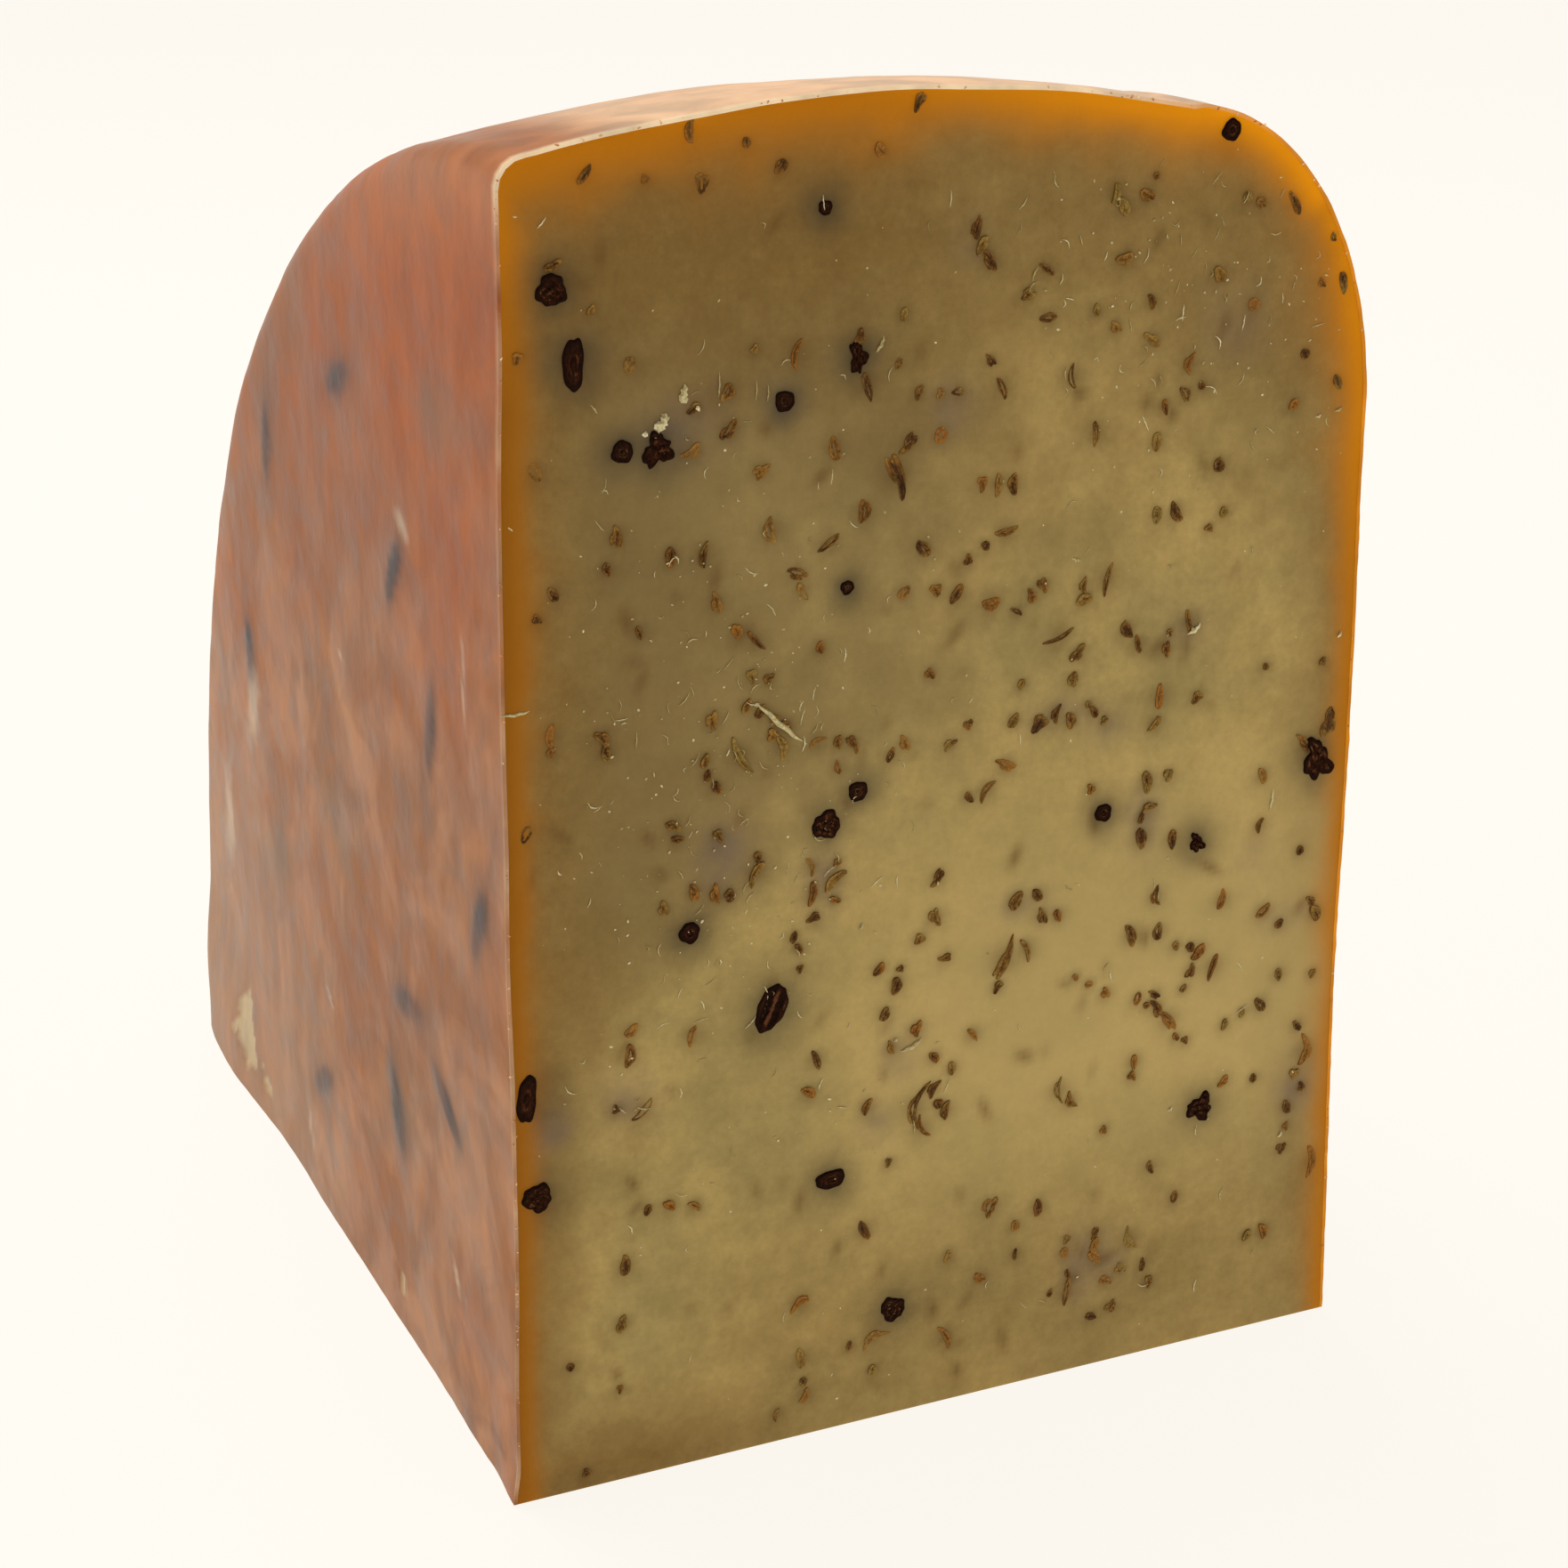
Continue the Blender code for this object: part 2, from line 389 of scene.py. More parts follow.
@dataclass
class Block:
    """The block's place in the frame, and the slow waves that a pressed wheel has."""

    low: Vector
    high: Vector

    # The left side leans in towards the back: how far, from and to which depth, and the heights
    # between which it begins.
    back_taper: float = 1.9 * MM
    back_taper_from: float = 100.0 * MM
    back_taper_to: float = 150.0 * MM
    taper_heights: tuple[float, float] = (-6.0 * MM, 24.0 * MM)

    # The right side sinks a little, low down.
    right_hollow: float = 0.9 * MM
    hollow_centre: float = 42.0 * MM
    hollow_spread: float = 28.0 * MM

    # The left side bulges out at the base, towards the back, and has a small lip in front.
    foot: float = 1.7 * MM
    foot_back: float = 126.0 * MM
    foot_spread: float = 20.0 * MM
    foot_heights: tuple[float, float] = (24.0 * MM, 2.0 * MM)
    lip: float = 0.5 * MM
    lip_height: float = 5.0 * MM
    lip_depth: float = 8.0 * MM

    # The corner behind the foot is rubbed round.
    corner_wear: float = 6.5 * MM
    wear_depths: tuple[float, float] = (128.0 * MM, 151.0 * MM)
    wear_height: float = 22.0 * MM

    # Slow waves, which sway the sides and swell the rim, and fade out at the axis.
    wave: float = 0.28 * MM
    sway_lengths: tuple[float, float] = (34.0 * MM, 13.0 * MM)
    swell_lengths: tuple[float, float] = (27.0 * MM, 11.0 * MM)
    calm_radius: float = 25.0 * MM

    @property
    def width(self) -> float:
        """Give the wheel's width at its centre."""
        return self.high.x - self.low.x

    @property
    def radius(self) -> float:
        """Give the wheel's radius at the crown of its rim."""
        return self.high.z - self.low.z

    @property
    def section(self) -> WheelSection:
        """Give the cut's outline."""
        return WheelSection(self.width, self.radius)

    def place(self, across: np.ndarray, radius: np.ndarray, angle: np.ndarray) -> np.ndarray:
        """Turn wheel places into places in the frame, with the block's slow waves.

        Args:
            across: distance from the left side.
            radius: distance from the axis.
            angle: turn from the front cut towards the base, in radians.

        Returns:
            One row of x, y and z for each place.
        """
        places = np.broadcast_arrays(across, radius, angle)
        across, radius, angle = (np.asarray(values, float).ravel() for values in places)
        raw = np.stack([across, radius * np.sin(angle), radius * np.cos(angle)], axis=1)
        back, up = raw[:, 1], raw[:, 2]
        near_left = np.clip(1 - across / self.width, 0, 1) ** 2
        tapered = smooth(back, self.back_taper_from, self.back_taper_to) * smooth(up, *self.taper_heights)
        at_foot = smooth(up, *self.foot_heights) * np.exp(-((back - self.foot_back) / self.foot_spread) ** 2)
        shift = self.back_taper * near_left * tapered
        shift -= self.foot * near_left ** 3 * at_foot
        hollow = np.exp(-((radius - self.hollow_centre) / self.hollow_spread) ** 2)
        shift -= self.right_hollow * np.clip(across / self.width, 0, 1) ** 4 * hollow
        lively = self.wave * smooth(radius, 0, self.calm_radius)
        long, short = self.sway_lengths
        shift += lively * (lattice_noise(raw, long, 3) + 0.4 * lattice_noise(raw, short, 4))
        shift *= np.clip(np.abs(across / self.width - 0.5) * 3, 0.3, 1)
        long, short = self.swell_lengths
        swell = lively * (lattice_noise(raw, long, 5) + 0.5 * lattice_noise(raw, short, 6) - 0.6)
        lip = self.lip * smooth(up, self.lip_height, 0) * smooth(back, self.lip_depth, 0) * near_left ** 4
        worn = smooth(back, *self.wear_depths) * smooth(up, self.wear_height, 0) ** 2
        radius = radius + swell - self.corner_wear * near_left ** 2 * worn
        return np.stack([
            self.low.x + across + shift - lip,
            self.low.y + radius * np.sin(angle),
            self.low.z + radius * np.cos(angle),
        ], axis=1)

    def on_front(self, across: float, up: float) -> Vector:
        """Give a place on the front cut from mm off the left side and mm off the base."""
        return Vector((self.low.x + across * MM, self.low.y, self.low.z + up * MM))

    def on_base(self, across: float, back: float) -> Vector:
        """Give a place on the base from mm off the left side and mm behind the front cut."""
        return Vector((self.low.x + across * MM, self.low.y + back * MM, self.low.z))


# ---------------------------------------------------------------- spices


class Cut(Enum):
    """The two knife cuts: the direction that points up the cut, and the one that points out."""

    FRONT = ((0.0, 0.0, 1.0), (0.0, -1.0, 0.0))
    BASE = ((0.0, 1.0, 0.0), (0.0, 0.0, -1.0))


class Spice(Enum):
    """What a cut spice is, as the knife left it."""

    STEM = "stem"
    BUD = "bud"
    SPLIT_BUD = "split bud"
    BROKEN_BUD = "broken bud"
    SEED = "seed"
    SLIVER = "sliver"
    FLAKE = "flake"


SMALL = (Spice.SEED, Spice.SLIVER, Spice.FLAKE)


@dataclass(frozen=True)
class CutSpice:
    """One spice met by a knife: its place on the cut, its lean and the half sizes of its section."""

    centre: Vector
    cut: Cut
    lean: float
    long: float
    short: float
    kind: Spice

    def gap(self, points: np.ndarray) -> np.ndarray:
        """Give the distances of places from its centre."""
        return np.linalg.norm(points - np.array(self.centre), axis=1)


def section_of_node(node: str) -> tuple[Vector, Cut, float, float, float]:
    """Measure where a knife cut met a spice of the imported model.

    Args:
        node: the spice's name.

    Returns:
        The section's centre, the cut, its lean from upright and its half length and half width.
    """
    points = corner_points(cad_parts[node])
    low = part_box("cheese_body")[0]
    cut = Cut.BASE if "base" in node else Cut.FRONT
    level = points[:, 2] - low.z if cut is Cut.BASE else points[:, 1] - low.y
    on_cut = points[np.abs(level) < 0.02 * MM]
    flat = np.stack([on_cut[:, 0], on_cut @ np.array(cut.value[0])], axis=1)
    flat = np.unique(np.round(flat, 6), axis=0)
    middle = (flat.max(0) + flat.min(0)) / 2
    turn = np.linalg.eigh(np.cov((flat - middle).T))[1]
    heading = turn[:, 1] * (1 if turn[1, 1] >= 0 else -1)
    along = (flat - middle) @ heading
    side = (flat - middle) @ np.array([heading[1], -heading[0]])
    centre = Vector((middle[0], low.y, middle[1]))
    if cut is Cut.BASE:
        centre = Vector((middle[0], middle[1], low.z))
    return centre, cut, math.atan2(heading[0], heading[1]), np.ptp(along) / 2, np.ptp(side) / 2


@dataclass
class SpiceBed:
    """All the spices met by the cuts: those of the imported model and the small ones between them."""

    block: Block
    seed: int = 11
    spacing: float = 1.5 * MM
    margin: float = 1.6 * MM
    strays: int = 18                 # single seeds between the drifts of the front cut
    base_drifts: int = 26
    base_seed_step: float = 2.1      # mm between the seeds of a drift on the base

    # Drifts of small cumin seeds on the front cut: first and last place in mm from the left side
    # and from the base, and how many seeds lie along them.
    DRIFTS = (
        (11.4, 146.7, 24.0, 145.0, 3), (28.5, 149.0, 32.5, 146.4, 2), (3.9, 129.4, 11.5, 133.2, 2),
        (43.6, 147.0, 47.4, 151.6, 2), (22.6, 150.6, 16.8, 150.0, 2), (45.4, 125.0, 46.4, 130.2, 2),
        (48.3, 121.8, 52.5, 121.4, 3), (52.4, 120.4, 50.6, 116.0, 3), (47.2, 116.5, 45.4, 114.4, 4),
        (41.2, 128.0, 41.7, 123.5, 3), (29.8, 115.5, 35.3, 128.4, 2), (16.0, 127.4, 16.2, 125.6, 1),
        (29.5, 128.3, 22.0, 123.2, 2), (49.0, 106.6, 49.6, 104.2, 2), (13.2, 107.0, 14.2, 110.2, 2),
        (19.8, 107.3, 23.3, 107.4, 2), (37.8, 106.8, 25.2, 101.8, 2), (33.9, 104.0, 34.8, 100.8, 4),
        (27.0, 98.4, 29.2, 98.7, 2), (29.4, 95.6, 29.2, 93.3, 2), (36.6, 95.6, 46.8, 100.5, 2),
        (5.4, 118.0, 5.8, 116.6, 1), (6.8, 105.0, 5.0, 102.4, 2), (71.0, 141.2, 75.6, 142.2, 2),
        (87.0, 139.8, 89.2, 138.8, 2), (93.5, 138.7, 96.6, 138.3, 2), (98.7, 134.4, 99.4, 132.8, 2),
        (100.3, 129.4, 97.6, 129.2, 3), (56.0, 134.8, 54.4, 138.4, 3), (60.6, 131.2, 63.2, 133.6, 2),
        (76.1, 129.0, 76.3, 125.2, 2), (69.1, 128.5, 71.6, 126.6, 2), (56.5, 124.3, 57.6, 121.4, 2),
        (66.6, 121.5, 69.4, 115.4, 2), (77.8, 117.6, 82.8, 119.2, 3), (95.6, 121.8, 94.6, 116.3, 2),
        (100.3, 118.2, 103.0, 108.2, 2), (77.5, 105.2, 79.8, 105.5, 2), (84.6, 103.3, 86.0, 104.8, 2),
        (103.2, 103.0, 103.4, 100.6, 2), (56.0, 111.3, 59.8, 111.0, 3), (58.6, 105.9, 54.2, 102.8, 3),
        (53.2, 99.4, 50.4, 100.2, 3), (63.3, 99.0, 60.6, 96.6, 3), (68.5, 98.4, 68.7, 96.8, 2),
        (6.2, 89.8, 6.4, 88.4, 2), (12.2, 88.6, 12.3, 87.0, 2), (28.6, 89.8, 33.3, 87.4, 4),
        (31.4, 86.2, 33.0, 83.8, 3), (36.3, 85.0, 40.8, 84.3, 4), (38.7, 81.5, 38.4, 80.8, 1),
        (46.8, 83.2, 45.2, 82.0, 2), (23.3, 84.4, 24.8, 81.4, 3), (3.2, 79.9, 3.8, 78.4, 3),
        (19.6, 78.0, 20.0, 76.4, 2), (25.2, 76.3, 26.2, 75.8, 2), (22.0, 70.2, 27.3, 68.2, 5),
        (29.3, 72.6, 29.4, 71.2, 2), (38.8, 70.6, 38.6, 66.6, 3), (35.6, 71.0, 36.3, 64.4, 3),
        (51.2, 66.8, 50.9, 62.0, 2), (33.8, 62.6, 34.8, 59.0, 4), (46.9, 56.6, 46.0, 53.6, 4),
        (45.2, 51.6, 45.5, 50.6, 2), (14.4, 55.0, 15.0, 53.8, 1), (52.5, 57.2, 49.2, 60.0, 2),
        (50.2, 90.8, 50.2, 89.6, 1), (57.0, 97.8, 58.4, 97.8, 1), (65.0, 92.6, 66.8, 92.4, 3),
        (65.4, 91.0, 68.0, 91.0, 2), (67.7, 88.6, 67.6, 86.8, 1), (63.9, 84.2, 67.6, 83.6, 6),
        (69.6, 84.6, 71.6, 82.2, 3), (74.2, 92.8, 76.0, 90.8, 3), (79.6, 89.6, 80.0, 91.4, 3),
        (54.6, 84.2, 55.3, 83.6, 2), (60.6, 84.0, 61.2, 88.0, 2), (59.8, 79.0, 60.8, 79.8, 2),
        (55.3, 75.9, 55.7, 77.4, 2), (78.2, 82.6, 78.3, 80.8, 2), (84.1, 83.3, 92.6, 85.8, 2),
        (100.6, 85.3, 103.5, 84.3, 2), (77.9, 75.4, 77.5, 72.4, 3), (78.9, 72.8, 77.4, 69.8, 3),
        (77.2, 68.4, 77.8, 65.8, 3), (93.1, 72.7, 93.4, 66.5, 2), (99.2, 62.4, 99.8, 62.8, 2),
        (103.6, 62.0, 103.8, 59.2, 3), (60.5, 61.4, 62.2, 63.6, 4), (64.0, 62.4, 65.0, 59.8, 2),
        (66.6, 59.8, 67.6, 59.0, 2), (76.0, 57.0, 77.0, 54.2, 3), (79.8, 59.6, 79.4, 58.8, 1),
        (88.6, 57.8, 88.8, 56.8, 1), (94.2, 55.8, 96.8, 53.8, 3), (101.3, 56.0, 101.5, 53.8, 2),
        (82.8, 53.0, 86.0, 51.7, 3), (69.2, 51.8, 73.3, 48.7, 3), (59.4, 52.0, 56.4, 46.6, 2),
        (12.8, 46.4, 17.0, 46.5, 2), (14.8, 44.6, 15.8, 45.2, 2), (35.4, 44.0, 35.9, 43.6, 2),
        (48.9, 49.0, 45.8, 47.0, 2), (51.5, 44.9, 53.4, 43.0, 2), (51.5, 41.0, 52.6, 38.0, 4),
        (43.1, 40.6, 45.6, 33.2, 2), (16.4, 33.2, 21.5, 32.8, 3), (13.4, 28.0, 13.4, 25.8, 2),
        (13.1, 20.0, 13.1, 18.8, 1), (42.9, 25.0, 34.4, 22.0, 1), (33.5, 17.6, 36.0, 16.6, 4),
        (34.6, 9.9, 35.4, 5.2, 4), (40.6, 10.1, 44.3, 10.2, 4), (6.4, 15.7, 12.2, 11.7, 2),
        (4.0, 4.6, 8.0, 2.0, 2), (31.7, 3.6, 44.0, 6.3, 2), (77.6, 47.3, 79.2, 46.4, 3),
        (80.3, 47.4, 80.0, 44.2, 3), (81.4, 42.6, 84.5, 41.0, 4), (84.9, 49.6, 84.2, 47.6, 2),
        (89.1, 47.9, 97.0, 47.0, 2), (101.8, 46.4, 103.4, 45.4, 4), (94.6, 43.4, 90.0, 41.9, 3),
        (77.8, 39.6, 77.4, 37.4, 3), (69.0, 36.0, 69.1, 34.2, 2), (100.4, 39.6, 101.0, 38.8, 2),
        (94.5, 34.0, 90.4, 34.6, 2), (100.2, 33.6, 101.6, 30.4, 4), (99.2, 29.0, 99.2, 23.6, 3),
        (58.4, 23.6, 59.8, 24.6, 3), (65.6, 22.7, 62.6, 21.2, 2), (53.6, 19.2, 57.6, 15.0, 2),
        (69.2, 18.0, 70.4, 17.8, 2), (69.4, 16.0, 70.4, 10.0, 3), (73.4, 17.8, 73.0, 13.4, 4),
        (67.2, 11.2, 62.3, 17.4, 2), (74.6, 11.3, 76.7, 12.0, 2), (78.6, 14.8, 81.1, 9.4, 3),
        (94.8, 12.8, 97.2, 12.6, 2), (103.0, 12.2, 103.2, 10.0, 3), (105.2, 5.6, 104.2, 14.8, 2),
        (60.9, 1.2, 74.7, 1.4, 2), (73.3, 6.2, 76.0, 7.4, 2),
    )

    # Cloves that the knife met in some other way than their size tells.
    BROKEN = ("clove_front_04", "clove_front_07", "clove_front_15", "clove_front_16", "clove_front_20")
    SHRUNKEN = 0.84

    # Thin, dark or tawny seeds met lengthwise, and bits of bud: mm from the left side and from
    # the base, lean in degrees, half length and half width in mm, and kind.
    CHOSEN = (
        (37.8, 106.8, 55, 1.6, 0.34, Spice.SLIVER), (34.0, 127.2, 12, 1.5, 0.36, Spice.SLIVER),
        (29.4, 97.2, -40, 1.3, 0.30, Spice.SLIVER), (27.6, 84.6, -28, 2.2, 0.42, Spice.SLIVER),
        (45.6, 113.4, -20, 2.4, 0.8, Spice.FLAKE), (47.0, 116.6, 40, 1.2, 0.6, Spice.FLAKE),
        (42.1, 123.0, -18, 1.6, 0.42, Spice.SLIVER), (22.7, 122.6, 60, 0.7, 0.5, Spice.FLAKE),
        (26.4, 123.9, 35, 1.0, 0.6, Spice.FLAKE), (22.4, 118.2, 60, 1.2, 0.5, Spice.FLAKE),
        (71.6, 98.8, 12, 1.9, 0.3, Spice.SLIVER), (65.8, 92.9, 70, 1.9, 0.26, Spice.SLIVER),
        (63.6, 83.2, 30, 1.1, 0.8, Spice.FLAKE), (82.3, 92.6, -12, 1.6, 0.3, Spice.SLIVER),
        (78.9, 84.2, 4, 1.6, 0.42, Spice.SLIVER), (57.2, 76.3, 40, 1.4, 0.4, Spice.SLIVER),
        (60.0, 55.4, 28, 2.6, 0.55, Spice.FLAKE), (62.8, 56.2, -20, 1.4, 0.3, Spice.SLIVER),
        (49.0, 39.0, 8, 2.4, 0.6, Spice.FLAKE), (50.0, 36.4, -30, 1.5, 0.26, Spice.SLIVER),
        (15.8, 45.6, 48, 1.6, 0.42, Spice.SLIVER), (58.9, 24.4, 20, 1.3, 0.8, Spice.FLAKE),
        (82.0, 43.8, -34, 1.5, 0.6, Spice.FLAKE), (87.8, 49.6, 20, 1.6, 0.4, Spice.SLIVER),
        (67.6, 37.6, -5, 1.6, 0.34, Spice.FLAKE), (44.0, 10.6, 62, 1.6, 0.5, Spice.FLAKE),
        (69.6, 10.6, 10, 1.6, 0.42, Spice.SLIVER), (78.0, 15.8, -22, 1.4, 0.6, Spice.FLAKE),
        (34.6, 17.4, 60, 1.2, 0.5, Spice.FLAKE), (103.4, 21.0, 0, 2.0, 0.5, Spice.SLIVER),
        (101.6, 36.2, 4, 1.8, 0.6, Spice.FLAKE), (70.5, 74.4, 5, 0.6, 0.4, Spice.FLAKE),
        (98.9, 75.6, -40, 1.4, 0.5, Spice.FLAKE), (101.9, 77.8, 10, 1.6, 0.9, Spice.FLAKE),
        (7.9, 138.2, 70, 0.9, 0.4, Spice.FLAKE), (41.2, 128.3, 20, 0.8, 0.5, Spice.FLAKE),
    )

    def __post_init__(self) -> None:
        """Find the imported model's spices, then strew the small ones."""
        self.rng = random.Random(self.seed)
        self.cloves = [self.read(name) for name in sorted(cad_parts) if self.is_cut_clove(name)]
        self.seeds = [self.read(name) for name in sorted(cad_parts) if name.startswith("cumin")]
        self.strew()

    @staticmethod
    def is_cut_clove(name: str) -> bool:
        """Say whether a node is a clove that a knife met."""
        return name.startswith(("clove_front", "clove_base"))

    def read(self, name: str) -> CutSpice:
        """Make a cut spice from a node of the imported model.

        Args:
            name: the node.

        Returns:
            The spice, with its kind told from the size and shape of its section.
        """
        centre, cut, lean, long, short = section_of_node(name)
        if name.startswith("cumin"):
            return CutSpice(centre, cut, lean, long, short, Spice.SEED)
        long, short = min(long, 3.4 * MM) * self.SHRUNKEN, short * self.SHRUNKEN
        if name in self.BROKEN:
            return CutSpice(centre, cut, lean, long, short, Spice.BROKEN_BUD)
        if short > 1.3 * MM:
            kind = Spice.SPLIT_BUD if long > 1.5 * short else Spice.BUD
        else:
            kind = Spice.STEM
        return CutSpice(centre, cut, lean, long, short, kind)

    def free(self, centre: Vector) -> bool:
        """Say whether a place is in the paste and clear of the spices so far.

        Args:
            centre: the place.

        Returns:
            True if a small seed fits there.
        """
        low = self.block.low
        radius = math.hypot(centre.y - low.y, centre.z - low.z)
        if not self.block.section.holds(centre.x - low.x, radius, self.margin):
            return False
        return all((centre - other.centre).length >= self.spacing * 0.55 + other.long * 0.8
                   for other in self.cloves + self.seeds)

    def add_seed(self, centre: Vector, cut: Cut, heading: float | None) -> None:
        """Add a small seed, unless its place is taken.

        Args:
            centre: its place on the cut.
            cut: which cut.
            heading: its lean, or None for a random one, mostly upright.
        """
        if not self.free(centre):
            return
        lean = heading if heading is not None else self.rng.gauss(0, 0.6)
        kind = self.rng.choices((Spice.SEED, Spice.SLIVER, Spice.FLAKE), (5, 2, 4))[0]
        short = self.rng.uniform(0.34, 0.62) * MM * (0.8 if kind is Spice.SLIVER else 1)
        long = short * (self.rng.uniform(2.4, 4.0) if kind is Spice.SLIVER else self.rng.uniform(1.0, 2.1))
        self.seeds.append(CutSpice(centre, cut, lean, long, short, kind))

    def strew(self) -> None:
        """Lay the drifts and strays of the front cut, then drifts on the base."""
        block = self.block
        for across, up, lean, long, short, kind in self.CHOSEN:
            self.seeds.append(CutSpice(block.on_front(across, up), Cut.FRONT, math.radians(lean),
                                       long * MM, short * MM, kind))
        for first_x, first_z, last_x, last_z, count in self.DRIFTS:
            for index in range(count):
                share = index / max(1, count - 1)
                across = first_x + (last_x - first_x) * share + self.rng.uniform(-0.3, 0.3)
                up = first_z + (last_z - first_z) * share + self.rng.uniform(-0.3, 0.3)
                self.add_seed(block.on_front(across, up), Cut.FRONT, None)
        for _stray in range(self.strays):
            across, up = self.rng.uniform(4, 100), self.rng.uniform(4, 142)
            self.add_seed(block.on_front(across, up), Cut.FRONT, None)
        for _drift in range(self.base_drifts):
            across, back = self.rng.uniform(8, 92), self.rng.uniform(8, 136)
            heading = self.rng.uniform(-1.2, 1.2)
            for index in range(self.rng.randint(2, 6)):
                reach = index * self.base_seed_step
                place = block.on_base(across + reach * math.sin(heading), back + reach * math.cos(heading))
                if place.x < block.high.x - 6 * MM and place.y < block.low.y + 145 * MM:
                    self.add_seed(place, Cut.BASE, self.rng.gauss(heading, 0.5))


@dataclass
class SectionPlug:
    """The visible end of a cut spice: a ragged outline, a lip, a sunken middle and a root inside.

    It is built in rings from the middle outwards, then down into the paste.
    """

    spice: CutSpice
    rng: random.Random
    proud: float = 0.10 * MM
    depth: float = 1.6 * MM

    # How square each kind's section is: 2 is an ellipse, more is squarer and less more pointed.
    BLUNTNESS = {Spice.STEM: 2.7, Spice.SEED: 1.8, Spice.SPLIT_BUD: 1.9}

    # Lobes and nicks round each kind's outline: their depth, how many there are, and how much of
    # the random start turns them.
    WAVY = ((0.09, 2, 1), (0.07, 3, 2), (0.04, 5, 3))
    LOBES = {
        Spice.SEED: WAVY,
        Spice.SLIVER: WAVY,
        Spice.FLAKE: ((0.24, 3, 1), (0.10, 2, 3), (0.09, 5, 2), (0.05, 8, 1)),
        Spice.STEM: ((0.05, 3, 1), (0.03, 7, 2)),
        Spice.BUD: ((0.09, 3, 1), (0.06, 5, 3), (0.04, 9, 2)),
        Spice.BROKEN_BUD: ((0.22, 3, 1), (0.13, 5, 2), (0.08, 8, 3), (0.04, 13, 0)),
        Spice.SPLIT_BUD: ((0.05, 3, 1), (0.03, 9, 1)),
    }

    def rings(self) -> tuple[int, int]:
        """Give how many rings and spokes the section takes for its size."""
        return (7, 22) if self.spice.kind in SMALL else (18, 48)

    def outline(self, turn: np.ndarray) -> np.ndarray:
        """Give the outline's share of an ellipse, with its points, nicks and lobes.

        Args:
            turn: directions from the middle, in radians from the long axis.

        Returns:
            One factor for each direction.
        """
        kind = self.spice.kind
        start = self.rng.uniform(0, 2 * math.pi)
        blunt = self.BLUNTNESS.get(kind, 2.0)
        reach = (np.abs(np.cos(turn)) ** blunt + np.abs(np.sin(turn)) ** blunt) ** (-1 / blunt)
        for depth, lobes, starts in self.LOBES[kind]:
            reach += depth * np.sin(lobes * turn + starts * start)
        return reach

    def relief(self, share: np.ndarray, side: np.ndarray, along: np.ndarray) -> tuple[np.ndarray, np.ndarray]:
        """Give the section's height and tone.

        Args:
            share: distance from the middle, 1 at the outline.
            side: distance across the section, -1 to 1.
            along: distance along it, -1 to 1.

        Returns:
            Height in metres above the paste, and tone from 0, dark skin, to 1, pale flesh.
        """
        kind = self.spice.kind
        lip = np.exp(-((share - 0.86) / 0.13) ** 2)
        grain = np.stack([side * 3, along * 2.2, np.full_like(side, self.rng.uniform(0, 50))], axis=1)
        rough = lattice_noise(grain, 0.45, 21) * 0.6 + lattice_noise(grain, 0.2, 22) * 0.4
        pale = smooth(lattice_noise(grain, 0.33, 23), 0.45, 0.75)
        if kind in SMALL:
            split = np.exp(-((side - 0.3 * rough) / 0.16) ** 2) * (1 - share ** 2)
            height = 0.04 * MM * rough - 0.09 * MM * (1 - share ** 2) - 0.06 * MM * split
            shade = self.rng.uniform(-0.16, 0.46) + self.rng.uniform(-0.3, 0.3) * along
            tone = np.clip(0.38 + shade + 0.24 * share ** 3 - 0.30 * split + 0.60 * rough, 0, 1)
        elif kind is Spice.STEM:
            ring = np.exp(-((share - 0.40) / 0.10) ** 2)
            heart = np.exp(-(share / 0.16) ** 2)
            height = 0.08 * MM * lip + 0.06 * MM * ring - 0.14 * MM * np.exp(-((share - 0.24) / 0.09) ** 2)
            height += 0.03 * MM * rough + 0.04 * MM * heart
            flesh = smooth(share, 0.86, 0.66)
            tone = np.clip(0.06 + 0.16 * flesh + 0.24 * ring + 0.14 * heart + 0.36 * rough * flesh, 0, 1)
        elif kind in (Spice.BUD, Spice.BROKEN_BUD):
            cells = np.cos(side * 8.5 + rough * 3.0) * np.cos(along * 7.0 - rough * 3.4)
            height = 0.12 * MM * lip + 0.13 * MM * cells * (1 - share ** 4) + 0.08 * MM * rough
            flesh = smooth(share, 0.95, 0.70)
            tone = np.clip(0.08 + flesh * (0.20 + 0.18 * cells + 0.42 * rough + 0.50 * pale), 0, 1)
        else:
            folds = np.cos(side * 7.5 + 0.8 * rough)
            height = 0.10 * MM * lip + 0.16 * MM * folds * (1 - share ** 3) - 0.05 * MM + 0.04 * MM * rough
            tone = np.clip(0.05 + 0.62 * smooth(folds, 0.1, 0.9) * (1 - share ** 4) + 0.16 * rough, 0, 1)
        return height, tone

